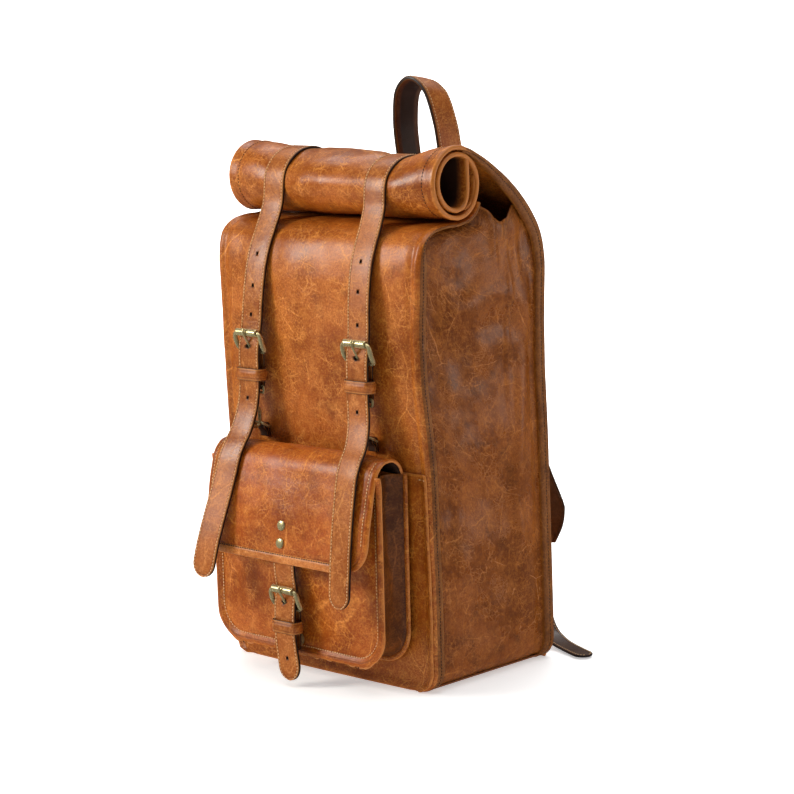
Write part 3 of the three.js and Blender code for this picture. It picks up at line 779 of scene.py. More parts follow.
LEATHER_BODY = leather_material(
    "body_leather", srgb(172, 86, 14), srgb(230, 148, 64), srgb(112, 50, 6), srgb(196, 120, 56)
)
# the sides' leather, darker than the body's as partly painted shade of the side faces, with strong painted
# shade near the seams
LEATHER_SIDE = leather_material(
    "side_leather", srgb(142, 72, 14), srgb(196, 118, 48), srgb(80, 38, 8), srgb(140, 78, 34),
    roughness=0.28, seam_shade=0.7,
)
LEATHER_POCKET = leather_material(
    "pocket_leather", srgb(170, 78, 6), srgb(
        226, 142, 56
    ), srgb(112, 48, 4), srgb(200, 124, 60), groove_at=5.2
)
# painted shade: a darker copy of the pocket leather for the pocket's sides and base, which stand in shadow
LEATHER_PAINTED_SHADE = leather_material(
    "pocket_side_painted_shade_leather", srgb(106, 54, 16), srgb(152, 88, 36), srgb(62, 30, 8), srgb(150, 92, 46)
)
LEATHER_BINDING = leather_material(
    "binding_leather", srgb(132, 74, 20), srgb(180, 112, 48), srgb(86, 44, 10), srgb(140, 84, 32), marks=0.8
)
LEATHER_TRIM = leather_material(
    "trim_leather", srgb(194, 110, 42), srgb(236, 164, 92), srgb(142, 74, 24), srgb(196, 122, 60), marks=0.8
)
# strap leather: its strong pale band along the edges is mostly a painted highlight on the bevel
LEATHER_STRAP = leather_material(
    "strap_leather", srgb(166, 86, 18), srgb(220, 144, 70), srgb(112, 52, 12), srgb(38, 22, 14),
    groove_at=2.6, marks=0.9, bevel_highlight=0.9, creases=(0.45, 1.6, 1),
)
# dark strap leather for the straps at the back, darkened further as painted shade of the back
LEATHER_DARK_AND_SHADED = leather_material(
    "dark_and_shaded_strap_leather", srgb(76, 47, 28), srgb(112, 76, 50), srgb(48, 30, 18), srgb(34, 20, 14),
    groove_at=3.0, marks=0.5,
)
BRASS = brass_material()
THREADS = {
    "light": thread_material("light_waxed_thread", srgb(222, 172, 116), srgb(246, 208, 156)),
    "dark": thread_material("dark_waxed_thread", srgb(38, 22, 10), srgb(62, 36, 18)),
}
CLOTH = cloth_material()


# ------------------------------------------------------------------ the bag's outlines

HALF_AT = [
    (0, 145), (22, 147.5), (100, 146.6), (180, 145), (244, 143.6), (310, 140.8), (360, 140.6), (425, 143.4)
]
HALF_AT += [(470, 144.4), (560, 144.4)]
FRONT_EDGE = [
    (-88, 0.4), (-88, 40), (-87.6, 86), (-88.5, 154), (-88.8, 222), (-96.2, 322), (-97, 400), (-95.6, 438)
]
FRONT_EDGE += [(-90, 455), (-76, 466), (-58, 470), (-39, 470.8), (-20, 475), (-11.5, 481.5), (-7.5, 489)]
BULGE_AT = [
    (0, 1.5), (100, 3), (200, 5.5), (250, 6), (310, 7.5), (370, 8), (415, 7), (445, 3.5), (470, 1), (500, 0)
]
BACK_LINE = [(95.3, 0.4), (95.3, 200), (95.3, 380), (93.8, 428), (87, 453.5), (72.3, 476), (54, 495.8)]
BACK_LINE += [(37, 510), (19.5, 522), (4, 531.4), (-9, 538)]
ROLL = np.array([-39.5, 511])
PRESSED_AT = [
    (-144, 0), (-114, 1.5), (-90, 5.5), (-73, 8.5), (-56, 7), (-36, 5), (0, 5), (36, 6.5), (56, 11.5)
]
PRESSED_AT += [(73, 14.5), (90, 12), (110, 5), (130, 1), (144, 0)]
BOTTOM_CORNER = 22


def half_width(z):
    """Half the bag's width at a height: it narrows at the waist and rounds in at the base."""
    wide = np.interp(z, *zip(*HALF_AT))
    low = np.clip(BOTTOM_CORNER - np.asarray(z, float), 0, BOTTOM_CORNER)
    return wide - (BOTTOM_CORNER - np.sqrt(BOTTOM_CORNER**2 - low**2)) * 0.8


def inward(line):
    """The unit normals of a (y, z) line drawn upwards, towards +Y."""
    along = unit(np.gradient(line, axis=0))
    return np.stack([along[:, 1], -along[:, 0]], 1)


def edge_shape(d):
    """How far leather near a sewn edge sinks: a ridge at the edge, then a valley."""
    ridge = -1.7 * np.exp(-(((d - 4) / 2.6) ** 2))
    valley = 1.5 * np.exp(-(((d - 10) / 3.0) ** 2))
    return ridge + valley


def pressed(x, y, z):
    """Heights of the roll and of the slope behind it, pressed down under the straps."""
    places = np.linspace(-150, 150, 301)
    sag = np.interp(places, *zip(*PRESSED_AT))
    sag = np.convolve(np.pad(sag, 8, mode="edge"), np.ones(17) / 17, "valid")
    share = np.clip((z - 475) / 72.6, 0, 1) * smoothstep(42, -12, y)
    return z - np.interp(x, places, sag) * share


def waves(x, z, size, amount, seed):
    """Soft undulation over a panel, from its place on it."""
    points = np.stack([x, z, np.full_like(x, seed * 7.7)], -1)
    return wobble(points, size, amount, seed) + wobble(points, size / 2.6, amount * 0.35, seed + 5)


FRONT = spline(FRONT_EDGE, 4)
FRONT_IN = inward(FRONT)


def front_surface(rows, x_share, depth, lift=0.0):
    """Points on the front: rows index FRONT, x_share is -1 to 1 across, depth is round the corner."""
    line, normal = FRONT[rows], FRONT_IN[rows]
    half = half_width(line[:, 1])
    d_bottom = run_of(FRONT)[rows]
    grid = np.zeros((len(x_share), len(rows), 3))
    for i, (share, deep) in enumerate(zip(x_share, depth)):
        x = share * half if abs(share) < 1 else math.copysign(1, share) * (half + (abs(share) - 1) * 100)
        bulge = np.interp(line[:, 1], *zip(*BULGE_AT)) * (1 - np.minimum(abs(share), 1) ** 2)
        from_edge = (1 - min(abs(share), 1)) * half
        sink = edge_shape(from_edge) if abs(share) < 1 else 0
        sink = np.where(line[:, 1] < 440, sink, sink * 0.6)
        sink = sink + edge_shape(d_bottom) * 0.8
        inset = deep * (1 - 0.75 * smoothstep(430, 462, line[:, 1])) + sink - bulge - lift
        grid[i, :, 0] = x
        grid[i, :, 1:] = line + normal * inset[:, None]
    flat = 1 - np.clip(np.abs(grid[..., 0]) / 150, 0, 1) ** 6
    height = np.clip((FRONT[rows][:, 1] - 20) / 60, 0, 1)[None, :]
    move = waves(grid[..., 0], grid[..., 2], 80, 2.0, 3) * flat * height
    puckered = np.exp(-(((grid[..., 0] - 112) / 22) ** 2) - ((grid[..., 2] - 243) / 9) ** 2)
    move = move - 2.2 * puckered * (lift == 0)
    grid[..., 1:] += normal[None] * move[..., None]
    return grid


def front_panel():
    side = [(1.006, 11), (1.009, 8.4), (1.013, 5.8), (1.012, 3.4), (1.006, 1.6), (0.999, 0.5), (0.991, 0.0)]
    side += [(0.98, 0), (0.965, 0), (0.95, 0), (0.935, 0), (0.92, 0), (0.9, 0)]
    middle = [(share, 0) for share in np.linspace(0.87, -0.87, 46)]
    line = side + middle + [(-share, deep) for share, deep in reversed(side)]
    share, deep = zip(*line)
    rows = np.arange(len(FRONT))
    grid = front_surface(rows, share, deep)
    obj = leather("front_leather", grid, 2.4, LEATHER_BODY, 1, flip=True)
    # the front's side strips take the darker binding leather: partly dirt, partly painted shade of the side
    # faces
    obj.data.materials.append(LEATHER_BINDING)
    columns = len(FRONT)
    for face in obj.data.polygons:
        row = min(face.vertices) // columns
        face.material_index = int(row < 4 or len(line) - 5 <= row < len(line))
    place(obj, "bag", "bag_leather", "front_panel")
    normal = np.tile([1.0, 0, 0], (len(rows), 1))
    for index, sign in ((2, 1), (len(line) - 3, -1)):
        sew("bag", grid[index][1:118], normal[1:118] * sign, "dark")
    row = np.argmin(np.abs(run_of(FRONT) - 7))
    keep = slice(6, len(line) - 6)
    sew("bag", grid[keep, row], np.tile([0, -1.0, 0], (len(line), 1))[keep], "dark")


def slip_panel():
    rows = np.arange(np.argmin(np.abs(FRONT[:, 1] - 2)), np.argmin(np.abs(FRONT[:, 1] - 225)) + 1)
    share = np.concatenate(
        [[0.985, 0.975, 0.96, 0.94], np.linspace(0.91, -0.91, 40), [-0.94, -0.96, -0.975, -0.985]]
    )
    grid = front_surface(rows, share, np.zeros(len(share)), lift=2.5)
    obj = leather("slip_pocket_leather", grid, 2.2, LEATHER_BODY, 2, flip=True)
    place(obj, "bag", "bag_leather", "slip_pocket_panel")
    top = grid[:, -2]
    short = np.abs(top[:, 0]) > 126
    for sign in (-1, 1):
        keep = short & (top[:, 0] * sign > 0)
        sew("bag", top[keep] + [0, 0, -0.5], np.tile([0, -1.0, 0], (keep.sum(), 1)))


GUSSET_TOP = [
    (-7, 491), (0, 486), (8, 478.5), (16, 471.5), (23.5, 467), (31, 467.5), (38, 471), (44, 477), (50, 481.5)
]
GUSSET_TOP += [(58, 481), (67.5, 476.5)]


def gusset(side, sign):
    count = 110
    stop = np.argmin(np.abs(run_of(FRONT) - (run_of(FRONT)[-1] - 15)))
    under = 3.4 - 2.2 * smoothstep(430, 462, FRONT[: stop + 1, 1:])
    front = FRONT[: stop + 1] + FRONT_IN[: stop + 1] * under
    front = resample(
        np.concatenate([front, [GUSSET_TOP[0]]]),
        at=np.linspace(0, 1, count) * run_of(np.concatenate([front, [GUSSET_TOP[0]]]))[-1]
    )
    back_full = spline(BACK_LINE, 4)
    back = back_full - np.stack(
        [unit(np.gradient(back_full, axis=0))[:, 1], -unit(np.gradient(back_full, axis=0))[:, 0]], 1
    ) * 3.2
    back = back[back[:, 1] < 474]
    back = np.concatenate([back, [GUSSET_TOP[-1]]])
    back = resample(back, at=np.linspace(0, 1, count) * run_of(back)[-1])
    columns = 46
    top = spline(GUSSET_TOP, 1.5)
    top = resample(top, at=np.linspace(0, 1, columns) * run_of(top)[-1])
    low = np.stack([np.linspace(front[0, 0], back[0, 0], columns), np.full(columns, 0.6)], 1)
    front[0], back[0] = low[0], low[-1]
    u = np.linspace(0, 1, columns)[None, :, None]
    v = np.linspace(0, 1, count)[:, None, None]
    ruled = (1 - u) * front[:, None] + u * back[:, None] + (1 - v) * low[None] + v * top[None]
    corners = (1 - u) * (1 - v) * low[0] + u * (1 - v) * low[-1] + (1 - u) * v * top[0] + u * v * top[-1]
    flat = ruled - corners
    y, z = flat[..., 0], flat[..., 1]
    edge = np.minimum(np.linspace(0, 1, columns), 1 - np.linspace(0, 1, columns))[None, :]
    puff = 2.6 * smoothstep(0, 0.25, edge) * smoothstep(0, 60, z)
    crease = 1.9 * np.exp(-(((y - 37 - (470 - z) * 0.01) / 2.6) ** 2)) * smoothstep(230, 330, z)
    fold = -4.2 * np.exp(-(((y - 62) / 11) ** 2)) * np.exp(-(((z - 440) / 34) ** 2))
    ledge = 4.2 * np.exp(
        -(((z - 396 + 0.25 * (y - 10) ** 2 / 40) / 20) ** 2)
    ) * smoothstep(-95, -40, y) * smoothstep(92, 60, y)
    channel = -1.6 * np.exp(-(((y - 75) / 5) ** 2)) * smoothstep(480, 440, z)
    soft = waves(y, z, 66, 2.7, 21 + sign) * smoothstep(0, 0.2, edge) * smoothstep(0, 40, z)
    x = half_width(z) - 2.9 + puff + crease + fold + ledge + channel + soft
    from_front = np.linalg.norm(flat - flat[:, :1], axis=-1)
    x -= 6.5 * smoothstep(438, 470, z) * np.exp(-((from_front / 13) ** 2))
    bend = y - 50 - 7 * np.sin(z / 41) - 0.04 * (z - 200)
    x += 3.0 * np.exp(-((bend / 8) ** 2)) * smoothstep(60, 130, z) * smoothstep(340, 270, z)
    x -= 4.0 * smoothstep(462, 490, z) * smoothstep(-30, 0, y)
    x += 2.6 * np.exp(-(((y - 9 - (478 - z) * 0.16) / 4.5) ** 2)) * smoothstep(400, 450, z)
    x -= 3.0 * np.exp(-(((y - 34 - (470 - z) * 0.2) / 6) ** 2)) * smoothstep(380, 440, z)
    grid = np.stack([sign * x, y, z], -1)
    obj = leather(f"{side}_gusset_leather", grid, 2.0, LEATHER_SIDE, 5 + sign, flip=sign > 0)
    place(obj, "bag", "bag_leather", f"{side}_gusset")


def roll_path():
    """The back, over the top and round the roll to its free end: (y, z), thickness, turn."""
    back = spline(BACK_LINE, 4)
    angles = np.radians(np.arange(58, 632, 4.0))
    turned = np.degrees(angles)
    radius = np.interp(turned, [50, 290, 345, 400, 440, 632], [36.6, 36.6, 33.0, 31.4, 30.6, 30.0])
    round_it = ROLL + np.stack([np.cos(angles), np.sin(angles)], 1) * radius[:, None]
    free = spline(
        [round_it[-1], (-30.5, 483.6), (-24.6, 490.5), (-22, 500), (-21.4, 513), (-21.8, 525), (-22.6, 535)],
        3
    )[1:]
    line = np.concatenate([back, round_it, free])
    thick = np.concatenate([np.full(len(back), 2.4), np.full(len(round_it), 4.9), np.full(len(free), 4.6)])
    kernel = np.ones(9) / 9
    thick = np.convolve(np.pad(thick, 4, mode="edge"), kernel, "valid")
    return line, thick, len(back)


def roll_bulge(x):
    return np.interp(
        np.abs(x), [0, 30, 58, 70, 80, 96, 120, 144], [1.34, 1.28, 1.13, 1.075, 1.07, 1.1, 1.07, 1.0]
    )


def roll_top():
    line, thick, back_count = roll_path()
    xs = np.concatenate(
        [[-1, -0.996, -0.985, -0.965, -0.94], np.linspace(-0.91, 0.91, 60), [0.94, 0.965, 0.985, 0.996, 1]]
    )
    y = np.broadcast_to(line[:, 0], (len(xs), len(line))).copy()
    z = np.broadcast_to(line[:, 1], (len(xs), len(line))).copy()
    on_roll = np.arange(len(line)) >= back_count - 3
    half = np.where(on_roll, 144.2, half_width(line[:, 1]) - 0.5)
    half = np.convolve(np.pad(half, 6, mode="edge"), np.ones(13) / 13, "valid")
    x = xs[:, None] * half[None, :]
    factor = roll_bulge(x)
    ahead = np.where(y < ROLL[0], y - ROLL[0], 0) * smoothstep(0, 1, on_roll.astype(float))
    y += ahead * (factor - 1)
    drop = smoothstep(0, -30, y - ROLL[0]) * (factor - 1) * 8 * smoothstep(500, 535, z)
    z -= drop * on_roll
    z = pressed(x, y, z)
    grid = np.stack([x, y, z], -1)
    normal = normals_of(grid)
    outer_turn = on_roll & (np.arange(len(line)) < back_count + 66)
    slant = np.stack([x * 0.9 + z * 0.5, (y + z) * 0.35, np.zeros_like(x)], -1)
    wrinkle = wobble(slant, 14, 1.1, 9) * np.exp(-(((np.abs(x) - 66) / 30) ** 2)) * outer_turn
    wrinkle = wrinkle + waves(
        x, z + y, 60, 1.1, 14
    ) * smoothstep(143, 110, np.abs(x)) * (outer_turn | ~on_roll)
    rim_ring = 0.7 * np.exp(-(((144 - np.abs(x)) / 5) ** 2)) - 0.8 * np.exp(
        -(((132.5 - np.abs(x)) / 2.5) ** 2)
    )
    wrinkle = wrinkle + rim_ring * outer_turn
    grid = grid - normal * wrinkle[..., None]
    obj = leather("roll_leather", grid, thick[None, :], LEATHER_BODY, 8, flip=True, lined=True)
    shade_roll_inside(obj, grid, back_count)
    place(obj, "bag", "bag_leather", "roll_top", "back_panel")
    for side in (-1, 1):
        column = np.argmin(np.abs(grid[:, back_count + 30, 0] - side * 132.5))
        ring = grid[column, back_count - 2 : back_count + 60]
        sew("bag", ring, -normal[column, back_count - 2 : back_count + 60], "dark")
    short = spline([(-26, 482.4), (-18, 487), (-12.6, 495), (-10.6, 505), (-10.2, 517)], 3)
    xs = np.linspace(-142.5, 142.5, 24)
    ys, zs = (np.repeat(short[None, :, k], 24, 0) for k in (0, 1))
    grid = np.stack([np.repeat(xs[:, None], len(short), 1), ys, zs], -1)
    obj = leather("roll_inner_edge", grid, 2.6, LEATHER_BODY, 9, flip=True, lined=True)
    place(obj, "bag", "bag_leather")


def shade_roll_inside(obj, grid, back_count):
    """Painted shade: the roll's hidden turns take the dark colour of the leather's inner face away from their
    ends.
    """
    deep = smoothstep(142.8, 131, np.abs(grid[..., 0]))
    turn = np.arange(grid.shape[1])
    outer = deep * (turn > back_count + 84)
    inner = deep * (turn > back_count)
    count = len(obj.data.vertices) - 2 * deep.size
    values = np.concatenate([outer.ravel(), np.zeros(count), inner.ravel()]).astype(np.float32)
    obj.data.attributes["flesh"].data.foreach_set("value", values)


def back_binding(side, sign):
    """The strip folded over the side seam at the back, up to the roll."""
    line = spline([*BACK_LINE, (-20, 543), (-30, 545.6)], 4)
    outward = inward(line)  # towards +Y, which is outwards at the back
    wide = np.interp(line[:, 1], [0, 480, 512, 530, 546], [13.4, 13.4, 12, 8, 5.5])
    half = half_width(line[:, 1])
    half = np.where(line[:, 1] > 520, 144.4, half)
    section = [
        (-11, 1.5, 0), (-7, 1.6, 0), (-3, 1.4, 0), (0.4, 0.7, 0), (1.9, 0, 0.06), (2.3, 0, 0.2),
        (2.0, 0, 0.36)
    ]
    section += [
        (1.5, 0, 0.46), (1.9, 0, 0.58), (2.4, 0, 0.74), (2.1, 0, 0.88), (0.4, 0, 0.97), (-2.6, 0, 1.0)
    ]
    grid = np.zeros((len(section), len(line), 3))
    for i, (side_out, back_out, deep) in enumerate(section):
        grid[i, :, 0] = sign * (half + side_out - 0.4)
        grid[i, :, 1:] = line + outward * (back_out - deep * wide)[:, None]
    grid = np.flip(grid, 0) if sign < 0 else grid
    obj = leather(f"{side}_binding_leather", grid, 1.5, LEATHER_BINDING, 12 + sign, flip=True)
    place(obj, "bag", "bag_leather", f"{side}_back_binding")
    index = 7 if sign > 0 else len(section) - 8
    normal = np.tile([sign * 1.0, 0, 0], (len(line), 1))
    sew("bag", grid[index][1:-4], normal[1:-4], "dark")
    index = 1 if sign > 0 else len(section) - 2
    out = np.concatenate([np.zeros((len(line), 1)), outward], 1)
    sew("bag", grid[index][1:-8], out[1:-8], "dark")


def base():
    ys = np.linspace(-86, 92.4, 24)
    xs = np.linspace(-1, 1, 36)
    grid = np.zeros((36, 24, 3))
    grid[..., 0] = xs[:, None] * 137
    grid[..., 1] = ys[None]
    grid[..., 2] = 0.35 + 2.6 * smoothstep(0.9, 1.0, np.abs(xs))[:, None]
    obj = leather("base_leather", grid, 2.2, LEATHER_SIDE, 15, flip=True)
    place(obj, "bag", "bag_leather", "bottom_panel")


def lining():
    """A soft box of cloth inside the shell, open at its top."""
    outline = rounded_path(137.6, -82.5, 88.4, 14)
    heights = np.linspace(3.6, 424, 60)
    grid = np.zeros((len(outline), 60, 3))
    grid[..., 0] = outline[:, :1]
    grid[..., 1] = outline[:, 1:]
    grid[..., 2] = heights[None]
    ripple = waves(grid[..., 0] + grid[..., 1], grid[..., 2], 40, 0.8, 31)
    inwards = unit(np.stack([-grid[..., 0], 3 - grid[..., 1]], -1))
    grid[..., :2] += inwards * np.abs(ripple)[..., None]
    grid[..., :2] *= 1 - 0.05 * (1 - smoothstep(0, 30, heights))[None, :, None]
    obj = leather("lining_cloth", grid, 0.7, CLOTH, 16, flip=False)
    place(obj, "bag", "lining_cloth", "lining")


def rounded_path(half, low, high, radius):
    """A closed rounded rectangle in x and y, given its last point again."""
    points = []
    for cx, cy, start in ((half, high, 0), (-half, high, 90), (-half, low, 180), (half, low, 270)):
        for a in np.radians(np.linspace(start, start + 90, 7)):
            inset = (math.copysign(radius, cx), radius if cy == high else -radius)
            points.append((cx - inset[0] + radius * math.cos(a), cy - inset[1] + radius * math.sin(a)))
    points.append(points[0])
    return resample(np.array(points), step=5)


# ------------------------------------------------------------------ front pocket

POCKET = {"half": 116.5, "rim": 121.5, "top": 225, "low": 29, "corner": 36, "front": -133.3, "back": -96.8}


def u_path(half, low, top, radius, step=4):
    """Down one side, round the corners and up the other: (x, z)."""
    points = [(-half, top), (-half, low + radius)]
    for a in np.radians(np.linspace(180, 270, 12)):
        points.append((-half + radius + radius * math.cos(a), low + radius + radius * math.sin(a)))
    for a in np.radians(np.linspace(270, 360, 12)):
        points.append((half - radius + radius * math.cos(a), low + radius + radius * math.sin(a)))
    points.append((half, top))
    return resample(np.array(points), step=step)


def pocket_front():
    low, top, corner, rim = POCKET["low"], POCKET["top"], POCKET["corner"], POCKET["rim"]
    drop = 1 - np.cos(np.linspace(0, math.pi / 2, 16))
    zs = np.concatenate([low + corner * drop, np.linspace(low + corner, top, 40)[1:]])
    t = np.clip(low + corner - zs, 0, corner)
    half = rim - corner + np.sqrt(np.maximum(corner**2 - t**2, 1))
    share = np.concatenate([[-1, -0.992, -0.98, -0.965, -0.95, -0.935, -0.915], np.linspace(-0.89, 0.89, 44)])
    share = np.concatenate([share, [0.915, 0.935, 0.95, 0.965, 0.98, 0.992, 1]])
    x = share[:, None] * half[None]
    z = np.broadcast_to(zs, x.shape)
    path = u_path(rim, low, top, corner, 2)
    near = distance_to(np.stack([x, z], -1), path)
    pillow = 4.5 * smoothstep(8, 60, near) * smoothstep(top + 30, top - 60, z)
    rolled = 2.5 * np.exp(-(((near - 4.2) / 3.2) ** 2)) - 1.4 * np.exp(-(((near - 10) / 2.2) ** 2))
    soft = waves(x, z, 70, 2.4, 41) * smoothstep(10, 34, near)
    y = -135.6 - pillow - rolled - soft - 1.0 * smoothstep(top - 8, top, z)
    grid = np.stack([x, y, z], -1)
    obj = leather("pocket_front_leather", grid, 2.6, LEATHER_POCKET, 20)
    place(obj, "bag", "bag_leather", "pocket_front")
    line = u_path(rim - 9.2, low + 9.2, top - 3, corner - 7)
    at = surface_at(grid, line)
    sew("bag", at, np.tile([0, -1.0, 0], (len(at), 1)))


def distance_to(points, path):
    flat = points.reshape(-1, points.shape[-1])
    best = np.full(len(flat), 1e9)
    for start in range(0, len(path), 64):
        part = path[start : start + 64]
        best = np.minimum(best, np.linalg.norm(flat[:, None] - part[None], axis=2).min(1))
    return best.reshape(points.shape[:-1])


def surface_at(grid, line):
    """Points of a grid facing the front that have the given (x, z), by nearest neighbours."""
    flat = grid.reshape(-1, 3)
    result = []
    for x, z in line:
        d = (flat[:, 0] - x) ** 2 + (flat[:, 2] - z) ** 2
        near = np.argsort(d)[:4]
        w = 1 / (d[near] + 1e-3)
        result.append((x, (flat[near, 1] * w).sum() / w.sum(), z))
    return np.array(result)


def pocket_gusset():
    """The pocket's sides and base: a deep strip that pinches inwards along its middle."""
    path = u_path(POCKET["half"], 34, 224, 32, 4)
    along = unit(np.gradient(path, axis=0))
    out = np.stack([along[:, 1], -along[:, 0]], 1)
    out = -out if out[0, 0] > 0 else out
    depth = np.linspace(0, 1, 22)
    grid = np.zeros((len(depth), len(path), 3))
    pinch = 7.0 * smoothstep(90, 200, path[:, 1]) + 3.0
    for i, d in enumerate(depth):
        sink = pinch * math.sin(math.pi * d) ** 1.5
        flare = 3.2 * (math.exp(-((d / 0.07) ** 2)) + math.exp(-(((1 - d) / 0.07) ** 2)))
        place_at = path - out * (sink - flare)[:, None] * 1.0
        grid[i, :, 0] = place_at[:, 0]
        grid[i, :, 2] = place_at[:, 1]
        grid[i, :, 1] = POCKET["front"] + 0.4 + d * (POCKET["back"] - POCKET["front"] - 0.8)
    grid[..., 0] += waves(grid[..., 1] * 2, grid[..., 2], 30, 0.9, 44) * np.sin(math.pi * depth)[:, None]
    obj = leather("pocket_gusset_leather", grid, 2.0, LEATHER_PAINTED_SHADE, 22, flip=False)
    place(obj, "bag", "bag_leather", "pocket_gusset")


def pocket_piping():
    path = u_path(119.6, 30.4, 224, 34, 4)
    along = unit(np.gradient(path, axis=0))
    out = np.stack([along[:, 1], -along[:, 0]], 1)
    out = -out if out[0, 0] > 0 else out
    section = [(-3.6, 0.2), (-2.6, 1.6), (-0.6, 2.6), (1.4, 2.2), (2.6, 0.6)]
    grid = np.zeros((len(section), len(path), 3))
    for i, (a, h) in enumerate(section):
        grid[i, :, 0] = path[:, 0] + out[:, 0] * a
        grid[i, :, 2] = path[:, 1] + out[:, 1] * a
        grid[i, :, 1] = -97.4 - h
    obj = leather("pocket_piping_leather", grid, 1.2, LEATHER_BODY, 24, flip=False)
    place(obj, "bag", "bag_leather", "pocket_base_piping")


FLAP_LINE = [
    (-97.6, 226), (-102.5, 235), (-110, 240.4), (-118.6, 242), (-128, 240.4), (-138.5, 231.5), (-145, 212)
]
FLAP_LINE += [(-150.2, 190), (-154.2, 165), (-157, 145), (-158.4, 129.4)]
FLAP_HALF = 117


def flap():
    """The flap over the pocket: crowned, with rolled side edges and rounded lower corners."""
    line = spline(FLAP_LINE, 3)
    run = run_of(line)
    left = run[-1] - run
    corner = 30
    t = np.clip(corner - left, 0, corner)
    half = FLAP_HALF - corner + np.sqrt(np.maximum(corner**2 - t**2, 4))
    dense = run[-1] - corner * (1 - np.cos(np.linspace(math.pi / 2, 0, 14)))
    at = np.concatenate([run[run < run[-1] - corner], dense])
    line = resample(line, at=at)
    half = np.interp(at, run, half)
    along = unit(np.gradient(line, axis=0))
    out = np.stack([-along[:, 1], along[:, 0]], 1)
    out = out if out[-1, 0] < 0 else -out
    share = np.concatenate([[-1, -0.992, -0.982, -0.97, -0.957, -0.945, -0.925], np.linspace(-0.9, 0.9, 46)])
    share = np.concatenate([share, [0.925, 0.945, 0.957, 0.97, 0.982, 0.992, 1]])
    x = share[:, None] * half[None]
    near = np.minimum((1 - np.abs(share))[:, None] * half[None], (at[-1] - at)[None] * 0 + 99)
    sag = 1.5 * (1 - (x / FLAP_HALF) ** 2)
    rolled = 1.1 * np.exp(-(((near - 2.6) / 2.2) ** 2)) - 0.5 * np.exp(-(((near - 6.2) / 1.5) ** 2))
    droop = -2.6 * smoothstep(0.93, 1.0, np.abs(share))[:, None] * smoothstep(20, 60, at)[None]
    soft = waves(x, np.broadcast_to(at, x.shape), 55, 1.0, 51) * smoothstep(0, 25, at)[None]
    lift = sag + rolled + droop + soft
    grid = np.zeros((*x.shape, 3))
    grid[..., 0] = x
    grid[..., 1:] = line[None] + out[None] * lift[..., None]
    obj = leather("flap_leather", grid, 3.4, LEATHER_POCKET, 26, flip=True)
    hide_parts("pocket_flap", "flap_seam")
    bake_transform(obj, "bag", "pocket_flap", start=(0, -0.108, 0.2385), end=(0, -0.127, 0.2405))
    normal = np.concatenate([np.zeros((len(line), 1)), out], 1)
    crown = np.argmax(line[:, 0] < -128)
    for index in (5, len(share) - 6):
        stop = len(line) - 13
        sew("pocket_flap", grid[index, crown:stop], normal[crown:stop])
    flap_binding(line, out)
    return grid


def flap_binding(line, out):
    """The lighter strip folded over the flap's lower edge."""
    path = spline([(-90, -152.6, 0), (90, -152.6, 0)], 4)
    xs = path[:, 0]
    section = [
        (8.8, 0.3), (7.9, 1.2), (5, 1.7), (2.2, 1.6), (0.2, 1.2), (-0.9, 0.1), (-1.1, -1.4), (-0.4, -3.2)
    ]
    low = line[-1]
    up = unit(line[-4] - line[-1])
    o = out[-1]
    strip = np.zeros((len(section), len(xs), 3))
    sag = 1.5 * (1 - (xs / FLAP_HALF) ** 2)
    for i, (a, h) in enumerate(section):
        strip[i, :, 0] = xs
        strip[i, :, 1] = low[0] + up[0] * a + o[0] * (h + sag)
        strip[i, :, 2] = low[1] + up[1] * a + o[1] * (h + sag)
    obj = leather("flap_binding_leather", strip, 1.2, LEATHER_TRIM, 28)
    place(obj, "pocket_flap", "bag_leather", "flap_binding")
    sew("pocket_flap", strip[1] + [0, -0.2, 0], np.tile([0, -1.0, 0.1], (len(xs), 1)), "dark")


# ------------------------------------------------------------------ straps and leather fittings

FRONT_STRAP_LINE = [
    (-83, 487), (-87.5, 474), (-93.5, 461), (-100.5, 446), (-106, 430), (-109.8, 412), (-112.8, 390)
]
FRONT_STRAP_LINE += [(-114.5, 368), (-116.6, 352), (-118.6, 340), (-119.4, 330), (-119.4, 318), (-119.4, 303)]
TAIL_LINE = [
    (-121.4, 280), (-126.4, 263), (-132.4, 250.5), (-139.6, 240), (-145.6, 228), (-150.2, 209), (-154.8, 185)
]
TAIL_LINE += [(-158.8, 160), (-162, 135), (-165.5, 99)]
TAIL_DRIFT = {"left": 0.078, "right": 0.03}
TAIL_LEAN = {"left": 0, "right": 6}
TAIL_CURL = {"left": 16, "right": 1}
TAIL_CUT = {"left": 6, "right": -4}
STRAP_WIDTH, STRAP_THICK = 30, 3.2


def strap_over_roll(x):
    """A strap's centre line over the slope at the back and the roll: (y, z)."""
    line, _, back_count = roll_path()
    part = line[back_count - 15 : back_count + 32].copy()
    part[:, 0] += np.minimum(part[:, 0] - ROLL[0], 0) * (roll_bulge(x) - 1)
    part[:, 1] = pressed(x, part[:, 0], part[:, 1])
    along = unit(np.gradient(part, axis=0))
    outward = np.stack([along[:, 1], -along[:, 0]], 1)
    return (part + outward * 2.1)[::4]


